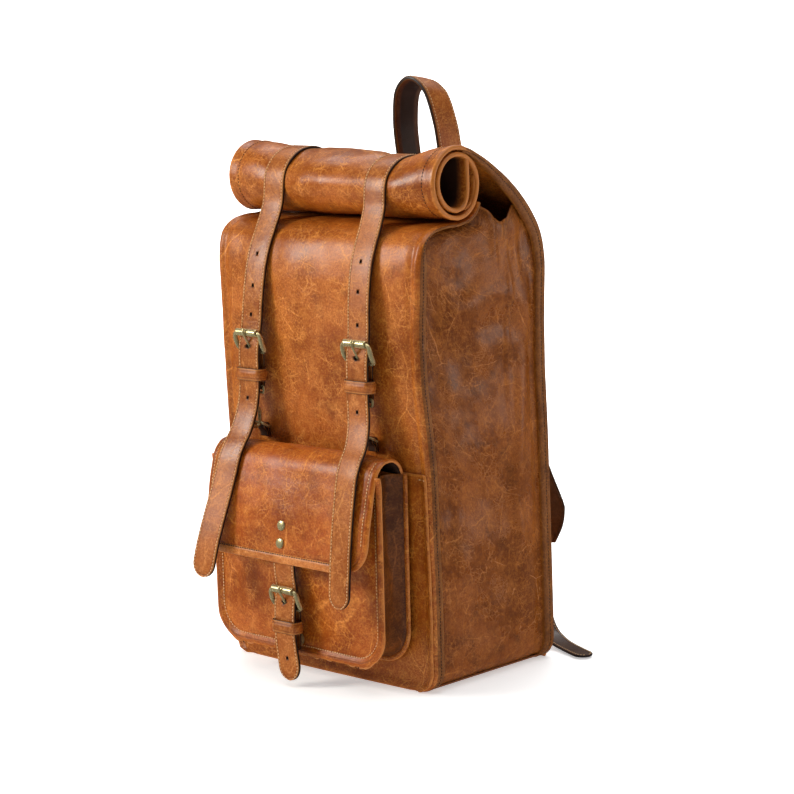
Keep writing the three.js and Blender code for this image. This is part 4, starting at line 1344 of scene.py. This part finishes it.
def main_strap(side, sign):
    line = spline([*strap_over_roll(sign * 72), *FRONT_STRAP_LINE, *TAIL_LINE], 3)
    line[:, 0] -= TAIL_CURL[side] * smoothstep(235, 95, line[:, 1]) * (line[:, 0] < -90)
    line[:, 1] += TAIL_CUT[side] * smoothstep(200, 99, line[:, 1])
    x = np.full(len(line), STRAP_X[side] * 1.0)
    upper = np.interp(line[:, 1], [340, 400, 450, 500, 560], [0, 2.5, 4, 6, 7])
    down = np.maximum(TAIL_Z - line[:, 1], 0) * TAIL_DRIFT[side]
    down += TAIL_LEAN[side] * smoothstep(TAIL_Z, 240, line[:, 1])
    x += sign * (down - upper)
    centre = np.stack([x, line[:, 0], line[:, 1]], 1)
    lean = np.where(
        line[:, 1] < TAIL_Z, 0.10 if side == "left" else 0.05, 0
    ) * smoothstep(300, 200, line[:, 1])
    across = np.stack([np.ones(len(line)), -sign * lean, np.zeros(len(line))], 1)
    obj, info = strap(
        f"{side}_main_strap", centre, across, STRAP_WIDTH, STRAP_THICK, LEATHER_STRAP, 30 + sign, tip=True
    )
    holes = [hole_at(info, z, 1.4) for z in (436, 404, 372, 286)]
    holes.append(hole_at(info, 341.2, 2.6))
    punch(obj, holes)
    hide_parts(f"{side}_strap", f"{side}_strap_tail")
    middle = STRAP_X[side] * MM
    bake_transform(obj, "bag", f"{side}_tail", start=(middle, -0.1194, 0.306), end=(middle, -0.1194, 0.296))
    z = info["centre"][:, 2]
    split = np.argmax((z < 318) & (np.arange(len(z)) > 60))
    again = np.argmax((z < 299) & (np.arange(len(z)) > 60))
    for body, part in (("bag", slice(3, split)), (f"{side}_tail", slice(again, None))):
        piece = {key: value[part] if key != "top" else value for key, value in info.items()}
        sew_strap(body, piece, inset=2.4)


def hole_at(info, z, radius):
    centre = info["centre"]
    front = centre[:, 1] < -60
    index = np.where(front)[0][np.argmin(np.abs(centre[front][:, 2] - z))]
    return centre[index], info["normal"][index], radius


def loop_band(name, path, width, thick, across, material, seed, dome=0.3):
    """A leather loop closed on itself, its ends meeting where they don't show."""
    return strap(name, path, across, width, thick, material, seed, dome=dome)[0]


def racetrack(y, low, high, radius):
    """A closed loop in the (y, z) plane round two bars, one above the other."""
    points = [(y + radius, (low + high) / 2)]
    points += [
        (y + radius * math.cos(a), high + radius * math.sin(a)) for a in np.radians(np.arange(0, 181, 15))
    ]
    points += [
        (y - radius * math.cos(a), low - radius * math.sin(a)) for a in np.radians(np.arange(0, 181, 15))
    ]
    points += [(y + radius, (low + high) / 2 - 0.3)]
    return resample(np.array(points), step=1.6)


def chape(prefix, slot_body, x, bar_y, bar_z, low):
    path = racetrack(bar_y, low, bar_z, 3.1)
    points = np.stack([np.full(len(path), x), path[:, 0], path[:, 1]], 1)
    obj = loop_band(f"{prefix}_chape_leather", points, 25, 1.7, (-1, 0, 0), LEATHER_STRAP, 60 + x, dome=0.1)
    punch_slot(obj, x, bar_y - 3.1, bar_z)
    place(obj, slot_body, "strap_leather", f"{prefix}_chape")


def punch_slot(obj, x, y, z):
    """The slot at the fold that the prong comes out of."""
    bpy.ops.mesh.primitive_cube_add(size=1)
    tool = bpy.context.object
    tool.scale = (0.0056, 0.012, 0.0125)
    tool.location = Vector((x, y, z + 1)) * MM
    cut_with(obj, tool)


def cut_with(obj, tool):
    bpy.context.view_layer.update()
    cut = obj.modifiers.new("cut", "BOOLEAN")
    cut.object = tool
    cut.operation = "DIFFERENCE"
    cut.solver = "EXACT"
    bpy.context.view_layer.update()
    kept = bpy.data.meshes.new_from_object(obj.evaluated_get(bpy.context.evaluated_depsgraph_get()))
    obj.modifiers.clear()
    obj.data = kept
    kept.polygons.foreach_set("use_smooth", [True] * len(kept.polygons))
    bpy.data.objects.remove(tool)


def keeper(prefix, body, x, front, back, low, tall):
    half = STRAP_WIDTH / 2 + 1.6
    middle = (front + back) / 2
    outline = rounded_path(half, front, back, 3.2)
    shift = len(outline) // 4
    outline = np.roll(outline[:-1], -shift, 0)
    outline = np.concatenate([outline, outline[:1] + [0.3, 0]])
    outline = resample(outline, step=1.6)
    puffed = outline.copy()
    puffed[:, 1] += np.where(outline[:, 1] < middle, -0.7, 0) * (1 - (outline[:, 0] / half) ** 2)
    points = np.stack([puffed[:, 0] + x, puffed[:, 1], np.full(len(puffed), low + tall / 2)], 1)
    obj = loop_band(f"{prefix}_keeper_leather", points, tall, 1.9, (0, 0, 1), LEATHER_STRAP, 70 + x, dome=0.7)
    place(obj, body, "strap_leather", f"{prefix}_keeper")


def ring_tab(side):
    low, high = node_box(f"{side}_ring_tab")
    x = (low[0] + high[0]) / 2
    points = [(-97.9, 243.8), (-98.6, 247), (-99.4, 251), (-99.3, 255), (-100.3, 257.4), (-102.2, 258.2)]
    points += [
        (-104.4, 257.2), (-105.3, 255), (-104.6, 252.4), (-102.2, 250.4), (-101.0, 247), (-100.6, 243.8)
    ]
    path = spline(points, 1.4)
    line = np.stack([np.full(len(path), x), path[:, 0], path[:, 1]], 1)
    obj = loop_band(
        f"{side}_ring_tab_leather", line, high[0] - low[0], 1.5, (-1, 0, 0), LEATHER_STRAP, 75 + x, dome=0.1
    )
    place(obj, "bag", "strap_leather", f"{side}_ring_tab")


POCKET_STRAP_LINE = [(-146, 184), (-149, 165), (-152, 145), (-153.4, 129), (-152.8, 115)]
POCKET_STRAP_LINE += [(-150.9, 101), (-152.4, 91), (-154.2, 80), (-154.8, 60), (-156, 38), (-158, 7)]


def pocket_strap():
    line = spline(POCKET_STRAP_LINE, 2.5)
    centre = np.stack([10 * smoothstep(62, 0, line[:, 1]), line[:, 0], line[:, 1]], 1)
    obj, info = strap(
        "pocket_strap_leather", centre, (1, 0, 0), STRAP_WIDTH, STRAP_THICK, LEATHER_STRAP, 44, tip=True
    )
    punch(obj, [hole_at(info, 30, 1.4), hole_at(info, 86.8, 2.6)])
    place(obj, "pocket_flap", "strap_leather", "pocket_strap")
    z = info["centre"][:, 2]
    part = slice(np.argmax(z < 128), None)
    piece = {key: value[part] if key != "top" else value for key, value in info.items()}
    sew_strap("pocket_flap", piece, inset=2.4)


# ------------------------------------------------------------------ brass


def buckle_axes(tilt=math.radians(22)):
    """Up the frame from its hinge bar, in (y, z)."""
    return np.array([-math.sin(tilt), math.cos(tilt)])


def buckle_frame(name, body, hinge, width, cad, tilt=math.radians(22), flip=1.0, bow=0.9):
    """A bent-wire frame: hinge bar, bowed arms and the bar that carries the roller."""
    up = buckle_axes(tilt) * flip
    half = width / 2 + 2.5
    tall = 22.0
    outline = []
    corners = [(-half, 0, 180, 270), (half, 0, 270, 360), (half, tall, 0, 90), (-half, tall, 90, 180)]
    r = 4.2
    for cx, cv, a0, a1 in corners:
        for a in np.radians(np.linspace(a0, a1, 7)):
            sx = math.copysign(half - r, cx)
            sv = r if cv == 0 else tall - r
            outline.append((sx + r * math.cos(a), sv + r * math.sin(a)))
    outline = resample(np.array(outline + [outline[0]]), step=1.2)[:-1]
    share = outline[:, 1] / tall
    wide = 1 + (bow / half) * np.sin(math.pi * share)
    points = np.stack(
        [hinge[0] + outline[:, 0] * wide, hinge[1] + up[0] * outline[:, 1], hinge[2] + up[1] * outline[:, 1]],
        1
    )
    normal = np.cross([1, 0, 0], [0, up[0], up[1]])
    points = points + normal * (1.6 * np.sin(math.pi * share))[:, None] * np.sign(normal[1]) * -1
    arms = np.abs(outline[:, 0]) > half - 1.0
    radius = np.where(arms, 2.6, 1.9)
    radius = np.convolve(np.pad(radius, 3, mode="wrap"), np.ones(7) / 7, "valid")
    obj = tube(name, points, radius, BRASS, closed=True, sides=16)
    return place(obj, body, "antique_brass", cad)


def roller(name, body, centre, cad, length=30.0):
    half = length / 2
    profile = [
        (2.5, -half + 0.3), (2.8, -half), (3.6, -half), (3.95, -half + 0.35), (4.0, -half + 2), (3.95, 0)
    ]
    profile += [
        (4.0, half - 2), (3.95, half - 0.35), (3.6, half), (2.8, half), (2.5, half - 0.3), (2.5, -half + 0.3)
    ]
    obj = lathe(name, profile, centre, (1, 0, 0), BRASS, 40)
    return place(obj, body, "antique_brass", cad)


def prong(name, body, hinge, cad):
    offsets = [
        (-2.5, 2.3), (-5.0, 6.0), (-8.4, 11.3), (-11.3, 15.9), (-13.3, 19.6), (-13.9, 22.4), (-13.2, 25.0)
    ]
    path = spline(offsets, 0.9)
    points = np.stack([np.full(len(path), hinge[0]), hinge[1] + path[:, 0], hinge[2] + path[:, 1]], 1)
    share = np.linspace(0, 1, len(path))
    radius = np.interp(share, [0, 0.3, 0.8, 0.95, 1], [1.5, 1.45, 1.3, 1.15, 0.8])
    arm = tube(name, points, radius, BRASS, sides=14)
    ring = [
        (0, 3.25 * math.cos(a), 3.25 * math.sin(a)) for a in np.linspace(0, 2 * math.pi, 28, endpoint=False)
    ]
    eye = tube(
        name + "_eye", np.array(ring) + hinge, 1.1, BRASS, closed=True, sides=10, flat=1.4, normal=(1, 0, 0)
    )
    return place(joined(name, arm, eye), body, "antique_brass", cad)


def rivet(name, body, centre, axis, cad, radius=5.4):
    profile = [
        (0.001, 1.35), (1.6, 1.3), (3.4, 1.1), (4.4, 0.8), (5.0, 0.45), (radius, 0.0), (radius - 0.1, -0.4)
    ]
    profile += [(radius - 0.6, -0.7), (1.6, -0.7), (1.6, -5.2), (0.001, -5.2)]
    obj = lathe(name, profile, centre, axis, BRASS, 40)
    return place(obj, body, "antique_brass", cad)


def snap_hook(side):
    x = STRAP_X[side]
    y, eye, barrel, jaw, inner, bar = -113, 299, 289, 261, 4.6, 3
    loop = []
    for cx, cz, a0 in ((12, eye - 2, 0), (-12, eye - 2, 90), (-12, eye - 5.2, 180), (12, eye - 5.2, 270)):
        for a in np.radians(np.linspace(a0, a0 + 90, 6)):
            loop.append((x + cx + 1.8 * math.cos(a), y, cz + 1.8 * math.sin(a)))
    ring = resample(np.array(loop + [loop[0]]), step=1.2)[:-1]
    eye_ring = tube(f"{side}_swivel_eye_brass", ring, 1.5, BRASS, closed=True, sides=14)
    pin = lathe(
        "pin", [(0.001, -3), (1.4, -3), (1.4, 3), (0.001, 3)], (x, y, eye - 10.4), (0, 0, 1), BRASS, 20
    )
    place(joined(f"{side}_swivel_eye_brass", eye_ring, pin), "bag", "antique_brass", f"{side}_hook_swivel")

    profile = [
        (1.9, 0.6), (2.6, 1.0), (3.6, 0.8), (4.1, 0), (4.1, -1.6), (3.4, -2.4), (3.4, -3.2), (4.2, -4.2)
    ]
    profile += [
        (4.4, -7), (3.9, -9), (2.6, -11.4), (1.8, -12.6), (0.001, -12.8), (0.001, -7), (1.9, -6.6), (1.9, 0.6)
    ]
    barrel_obj = lathe("barrel", profile, (x, y, barrel), (0, 0, 1), BRASS, 32)
    mid = inner + bar / 2
    path = [(y, barrel - 11), (y + 3.0, barrel - 13.4), (y + mid, barrel - 18), (y + mid, jaw + 4)]
    path += [(y + mid * math.cos(a), jaw + mid * math.sin(a)) for a in np.radians(np.arange(-5, -181, -20))]
    path += [(y - mid, jaw + 2.6)]
    path = spline(path, 1.0)
    points = np.stack([np.full(len(path), x), path[:, 0], path[:, 1]], 1)
    share = np.linspace(0, 1, len(path))
    radius = np.interp(share, [0, 0.12, 0.5, 0.9, 1], [1.7, 1.75, 1.7, 1.5, 1.35])
    jaw_obj = tube("jaw", points, radius, BRASS, sides=16, flat=1.25, normal=(1, 0, 0))
    place(
        joined(f"{side}_hook_brass", barrel_obj, jaw_obj), f"{side}_hook", "antique_brass",
        f"{side}_hook_body"
    )

    gate = [
        (y - mid, jaw + 4.3), (y - mid - 0.3, jaw + 8), (y - mid - 0.6, barrel - 16),
        (y - mid - 0.9, barrel - 13)
    ]
    path = spline(gate, 1.0)
    points = np.stack([np.full(len(path), x), path[:, 0], path[:, 1]], 1)
    obj = tube(f"{side}_gate_brass", points, 1.0, BRASS, sides=14, flat=1.6, normal=(1, 0, 0))
    place(obj, f"{side}_gate", "antique_brass", f"{side}_hook_gate")

    tilt = 0.5
    half, reach, wire, r = 8.7, 11.2, 1.3, 5.2
    outline = [(-half, 0), (half, 0), (half, reach - r)]
    outline += [
        (half - r + r * math.cos(a), reach - r + r * math.sin(a)) for a in np.radians(np.arange(15, 91, 15))
    ]
    outline += [
        (-half + r - r * math.cos(a), reach - r + r * math.sin(a)) for a in np.radians(np.arange(90, 0, -15))
    ]
    outline += [(-half, reach - r), (-half, 0)]
    flat = resample(np.array(outline), step=1.1)[:-1]
    points = np.stack(
        [x + flat[:, 0], -102.2 - flat[:, 1] * math.cos(tilt), 254.6 + flat[:, 1] * math.sin(tilt)], 1
    )
    obj = tube(f"{side}_ring_brass", points, wire, BRASS, closed=True, sides=14)
    place(obj, f"{side}_ring", "antique_brass", f"{side}_ring")


def hardware():
    for side in SIDES:
        hinge = np.array(BUCKLE)
        hinge[0] = STRAP_X[side]
        buckle_frame(f"{side}_buckle_frame_brass", "bag", hinge, 31, f"{side}_buckle_frame")
        roller(f"{side}_roller_brass", f"{side}_roller", hinge + [0, -8.24, 20.4], f"{side}_buckle_roller")
        prong(f"{side}_prong_brass", f"{side}_prong", hinge, f"{side}_buckle_prong")
        chape(side, "bag", STRAP_X[side], hinge[1], hinge[2], 299)
        keeper(side, "bag", STRAP_X[side], -122.4, -109.2, 305, 13)
        ring_tab(side)
        snap_hook(side)
    hinge = np.array(POCKET_BUCKLE)
    buckle_frame("pocket_buckle_frame_brass", "pocket_flap", hinge, 31, "pocket_buckle_frame")
    roller("pocket_roller_brass", "pocket_roller", hinge + [0, -8.24, 20.4], "pocket_buckle_roller")
    prong("pocket_prong_brass", "pocket_prong", hinge, "pocket_buckle_prong")
    chape("pocket", "pocket_flap", 0, hinge[1], hinge[2], 40.5)
    keeper("pocket", "pocket_flap", 0, -158.0, -144.6, 55, 13)
    for name in ("upper", "lower"):
        low, high = node_box(f"flap_rivet_{name}")
        centre = (low + high) / 2
        centre[1] = low[1] - 0.6
        rivet(f"rivet_{name}_brass", "pocket_flap", centre, (0, -1, 0.14), f"flap_rivet_{name}")
    for name in ("snap_socket", "snap_stud"):
        frame["nodes"][name].data.materials[0] = BRASS


# ------------------------------------------------------------------ handle, yoke, shoulder straps


def handle():
    """The grab handle: an arched strap with both feet sewn to the back."""
    half, apex, width, thick = 29, 610, 35, 4.4
    line = [(-half, 468), (-half - 1, 520), (-half + 1, 565), (-half + 11, 597), (0, apex - 2)]
    line += [(half - 11, 597), (half - 1, 565), (half + 1, 520), (half, 468)]
    path = spline(line, 3)
    centre = np.stack([path[:, 0], 66 + 0.16 * (apex - path[:, 1]), path[:, 1]], 1)
    across = np.stack([np.zeros(len(path)), np.ones(len(path)), np.full(len(path), -0.16)], 1)
    obj, info = strap("handle_leather", centre, across, width, thick, LEATHER_STRAP, 80, dome=0.8)
    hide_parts("handle")
    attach(obj, "handle")
    sew_strap("handle", info, inset=3.0, start=30, stop=30)


def back_frame(line):
    along = unit(np.gradient(line, axis=0))
    return np.stack([along[:, 1], -along[:, 0]], 1)


def yoke():
    """The patch sewn across the upper back, over the shoulder straps' roots."""
    back = spline(BACK_LINE, 4)
    normal = back_frame(back)
    keep = (back[:, 1] > 402) & (back[:, 0] > 62)
    line, normal = back[keep] + normal[keep] * 2.7, normal[keep]
    xs = np.linspace(-86, 86, 44)
    grid = np.zeros((len(xs), len(line), 3))
    grid[..., 0] = xs[:, None]
    grid[..., 1:] = line[None]
    grid[..., 1:] += normal[None] * waves(grid[..., 0], grid[..., 2], 40, 0.5, 61)[..., None]
    over = np.exp(-(((np.abs(grid[..., 0]) - 47) / 22) ** 4)) * smoothstep(445, 405, grid[..., 2]) * 3.2
    grid[..., 1] += over
    obj = leather("yoke_leather", grid, 2.3, LEATHER_BODY, 62, flip=True)
    place(obj, "bag", "bag_leather", "yoke_patch")
    out = np.concatenate([np.zeros((len(line), 1)), normal], 1)
    for index in (1, len(xs) - 2):
        sew("bag", grid[index][1:-1], out[1:-1])
    for row in (1, len(line) - 2):
        sew("bag", grid[:, row][1:-1], np.tile(out[row], (len(xs) - 2, 1)))


def splayed(points, sign):
    """Shoulder straps lean outwards as they go down."""
    slope = (50 - 81) / (396 - 106)
    moved = points.copy()
    moved[:, 0] = sign * (
        50 + (points[:, 2] - 396) * slope + 8 * smoothstep(300, 170, points[:, 2])
    ) + points[:, 0]
    return moved


SHOULDER_LINE = [(98.8, 432), (104, 418), (110.4, 400), (114, 380), (118.5, 320), (127, 245), (142, 190)]
SHOULDER_LINE += [(158, 150), (162, 128), (156, 106)]


def shoulder_strap(side, sign):
    """A padded strap: two leathers over foam, crowned, pressed flat along its stitching."""
    path = spline(SHOULDER_LINE, 4)
    centre = splayed(np.stack([np.zeros(len(path)), path[:, 0], path[:, 1]], 1), sign)
    along = unit(np.gradient(centre, axis=0))
    across = unit(np.array([1.0, 0, 0]) - along * along[:, :1])
    normal = np.cross(across, along)
    run = run_of(centre)
    half = np.interp(
        run, [0, 30, 60, run[-1] - 90, run[-1] - 40, run[-1] - 12, run[-1]], [20, 23, 26, 29, 29, 18, 12.5]
    )
    section = [
        (1, 0, 1), (0.985, 0.75, 1), (0.95, 0.9, 0), (0.9, 0.85, 0), (0.84, 0.98, 0), (0.72, 1.9, 0),
        (0.5, 2.7, 0)
    ]
    section += [(0.25, 3.1, 0), (0, 3.2, 0)]
    upper = section + [(-a, h, r) for a, h, r in reversed(section[:-1])]
    lower = [(a, -h * 0.8, r) for a, h, r in reversed(upper[1:-1])]
    ring = upper + lower
    pad = smoothstep(8, 60, run) * smoothstep(run[-1] - 6, run[-1] - 60, run)
    vertices, hides, border, rim, flesh = [], [], [], [], []
    for c, w, n, h, s, p in zip(centre, across, normal, half, run, pad):
        for a, height, r in ring:
            tall = math.copysign(
                0.9 + (abs(height) - 0.9) * p if abs(height) > 0.9 else abs(height), height
            ) * 1.05
            vertices.append(c + w * a * h + n * tall)
            hides.append((a * h, s, 311.7 * (90 + sign) + (5 if height < 0 else 0)))
            border.append(h * (1 - abs(a)))
            rim.append(r * 0.8)
            flesh.append(0)
    m = len(ring)
    count = len(run)
    faces = [
        (i * m + k, (i + 1) * m + k, (i + 1) * m + (k + 1) % m, i * m + (k + 1) % m)
        for i in range(count - 1)
        for k in range(m)
    ]
    faces.append(tuple(range(m)))
    faces.append(tuple(reversed(range((count - 1) * m, count * m))))
    obj = make_mesh(
        f"{side}_shoulder_leather", vertices, faces, LEATHER_DARK_AND_SHADED, hide=np.array(hides), border=border,
        rim=rim, flesh=flesh
    )
    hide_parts(f"{side}_shoulder_strap")
    top = centre[0] * MM
    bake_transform(obj, "bag", f"{side}_shoulder", start=(top[0], 0.100, 0.425), end=(top[0], 0.1075, 0.400))
    inset = half - 3.2
    for edge in (-1, 1):
        line = centre + across * (edge * inset)[:, None] + normal * 0.95
        sew(f"{side}_shoulder", line[10:-2], normal[10:-2])


LOWER_STRAP = [
    (95.2, 104.5, 31, 0), (90, 117, 42, 0), (82, 138, 62, 0), (78.8, 144.4, 71, 0), (78.6, 145.6, 76.2, 0)
]
LOWER_STRAP += [
    (78.5, 148.6, 79, 0), (78.6, 152, 76.6, 0), (79, 153.6, 69, 0), (81.5, 152, 48, 0.2), (89, 147, 29, 0.5)
]
LOWER_STRAP += [(103, 140, 14, 0.8), (126, 131.5, 6, 1.08), (156, 121, 3.4, 1.18), (180, 112, 3.2, 1.18)]


def lower_strap(side, sign):
    """The adjusting strap: up from the base, through the buckle and down to its loose end."""
    path = spline(LOWER_STRAP, 2.5)
    centre = path[:, :3] * [sign, 1, 1]
    heading = path[:, 3]
    across = np.stack([np.cos(heading) * sign, np.sin(heading) * 1.0, np.zeros(len(path))], 1)
    obj, info = strap(
        f"{side}_lower_leather", centre, across, 22, 2.6, LEATHER_DARK_AND_SHADED, 95 + sign, tip=True, dome=0.25
    )
    place(obj, f"{side}_shoulder", "strap_leather", f"{side}_lower_strap")
    sew_strap(f"{side}_shoulder", info, inset=2.4, start=4)


def anchor_tab(side, sign):
    path = spline([(96.4, 3), (97.3, 12), (100.8, 21), (103, 26.2)], 1.5)
    centre = np.stack([np.full(len(path), 97.0 * sign), path[:, 0], path[:, 1]], 1)
    obj, info = strap(
        f"{side}_anchor_leather", centre, (-1, 0, 0), 26, STRAP_THICK, LEATHER_DARK_AND_SHADED, 98 + sign, dome=0.2
    )
    place(obj, "bag", "strap_leather", f"{side}_anchor_tab")
    sew_strap("bag", info, inset=2.6)


def back_buckle(side, sign):
    top = np.array([78.5 * sign, 153, 96])
    lean = -0.2
    up = np.array([-math.sin(lean), math.cos(lean)])
    half, tall, r = 14.8, 22, 3.4
    outline = []
    for cx, cv, a0 in ((1, 0, -90), (1, 1, 0), (-1, 1, 90), (-1, 0, 180)):
        for a in np.radians(np.linspace(a0, a0 + 90, 6)):
            outline.append(
                (cx * (half - r) + r * math.cos(a), -tall + (r if cv == 0 else tall - r) + r * math.sin(a))
            )
    outline = resample(np.array(outline + [outline[0]]), step=1.3)[:-1]
    points = np.stack(
        [top[0] + outline[:, 0], top[1] + up[0] * outline[:, 1], top[2] + up[1] * outline[:, 1]], 1
    )
    obj = tube(f"{side}_back_buckle_brass", points, 1.65, BRASS, closed=True, sides=14)
    place(obj, f"{side}_shoulder", "antique_brass", f"{side}_shoulder_buckle")


# ------------------------------------------------------------------ studio


def floor_material():
    material = bpy.data.materials.new("studio_floor")
    material.use_nodes = True
    shader = material.node_tree.nodes["Principled BSDF"]
    tone = material.node_tree.nodes.new("ShaderNodeTexNoise")
    tone.inputs["Scale"].default_value = 3
    colour = blend_colour(material.node_tree, tone.outputs["Fac"], (0.90, 0.90, 0.90), (0.92, 0.92, 0.92))
    material.node_tree.links.new(colour, shader.inputs["Base Color"])
    shader.inputs["Roughness"].default_value = 0.9
    shader.inputs["Specular IOR Level"].default_value = 0.1
    shader.inputs["Emission Color"].default_value = (1, 1, 1, 1)
    shader.inputs["Emission Strength"].default_value = 0.45
    return material


def studio():
    profile = [(-3000, 0), (2200, 0)]
    profile += [(2200 + 900 * math.sin(a), 900 - 900 * math.cos(a)) for a in np.radians(np.arange(5, 91, 5))]
    profile += [(3100, 3600)]
    turn = math.radians(43.4)
    vertices = []
    for d, z in profile:
        for side in (-5000, 5000):
            x = -math.sin(turn) * d + math.cos(turn) * side
            y = math.cos(turn) * d + math.sin(turn) * side
            vertices.append((x, y, z - 0.05))
    faces = [(2 * i, 2 * i + 1, 2 * i + 3, 2 * i + 2) for i in range(len(profile) - 1)]
    sweep = make_mesh("studio_sweep", vertices, faces, floor_material())
    sweep.visible_glossy = False

    def area(name, place_at, target, size, power, colour=(1, 1, 1)):
        data = bpy.data.lights.new(name, "AREA")
        data.shape = "RECTANGLE"
        data.size, data.size_y = size
        data.energy = power
        data.color = colour
        lamp = bpy.data.objects.new(name, data)
        lamp.location = place_at
        lamp.rotation_euler = (Vector(target) - Vector(place_at)).to_track_quat("-Z", "Y").to_euler()
        bpy.context.scene.collection.objects.link(lamp)

    area("key", (-1.35, -1.75, 1.25), (0, 0, 0.28), (0.7, 0.9), 38.5, (1.0, 0.97, 0.90))
    area("top", (0.1, -0.3, 2.3), (0, 0, 0.3), (1.8, 1.8), 12)
    area("side", (2.3, 0.6, 1.1), (0, 0, 0.3), (0.5, 1.4), 4, (1.0, 0.96, 0.9))
    area("sheen", (1.5, 1.65, 0.34), (0.15, 0, 0.25), (0.9, 0.45), 2.4, (1.0, 0.94, 0.86))
    area("back_wall", (-1.2, 1.6, 2.6), (-2.4, 2.6, 0.6), (2.6, 2.6), 120)
    area("floor_wash", (0.2, 0.4, 3.2), (-0.4, 1.0, 0), (3.2, 3.2), 34)

    world = bpy.data.worlds.new("studio_world")
    bpy.context.scene.world = world
    world.use_nodes = True
    world.node_tree.nodes["Background"].inputs["Color"].default_value = (1, 1, 1, 1)
    world.node_tree.nodes["Background"].inputs["Strength"].default_value = 0.09
    bpy.context.scene.view_settings.view_transform = "Standard"


def camera():
    az, el, roll = math.radians(43.39), math.radians(9.03), math.radians(-1.41)
    forward = Vector((-math.sin(az) * math.cos(el), math.cos(az) * math.cos(el), -math.sin(el)))
    right = forward.cross(Vector((0, 0, 1))).normalized()
    up = right.cross(forward)
    turned = right * math.cos(roll) + up * math.sin(roll)
    upright = up * math.cos(roll) - right * math.sin(roll)
    data = bpy.data.cameras.new("photo_camera")
    data.lens, data.sensor_width = 109.9, 36
    obj = bpy.data.objects.new("photo_camera", data)
    matrix = Matrix((turned, upright, -forward)).transposed().to_4x4()
    matrix.translation = (1.743, -1.824, 0.679)
    obj.matrix_world = matrix
    bpy.context.scene.collection.objects.link(obj)
    bpy.context.scene.camera = obj


# ------------------------------------------------------------------ assembly

camera()
front_panel()
slip_panel()
for side, sign in SIDES.items():
    gusset(side, sign)
    back_binding(side, sign)
roll_top()
base()
lining()
pocket_front()
pocket_gusset()
pocket_piping()
flap()
for side, sign in SIDES.items():
    main_strap(side, sign)
pocket_strap()
hardware()
handle()
yoke()
for side, sign in SIDES.items():
    shoulder_strap(side, sign)
    lower_strap(side, sign)
    anchor_tab(side, sign)
    back_buckle(side, sign)
make_stitches()
studio()
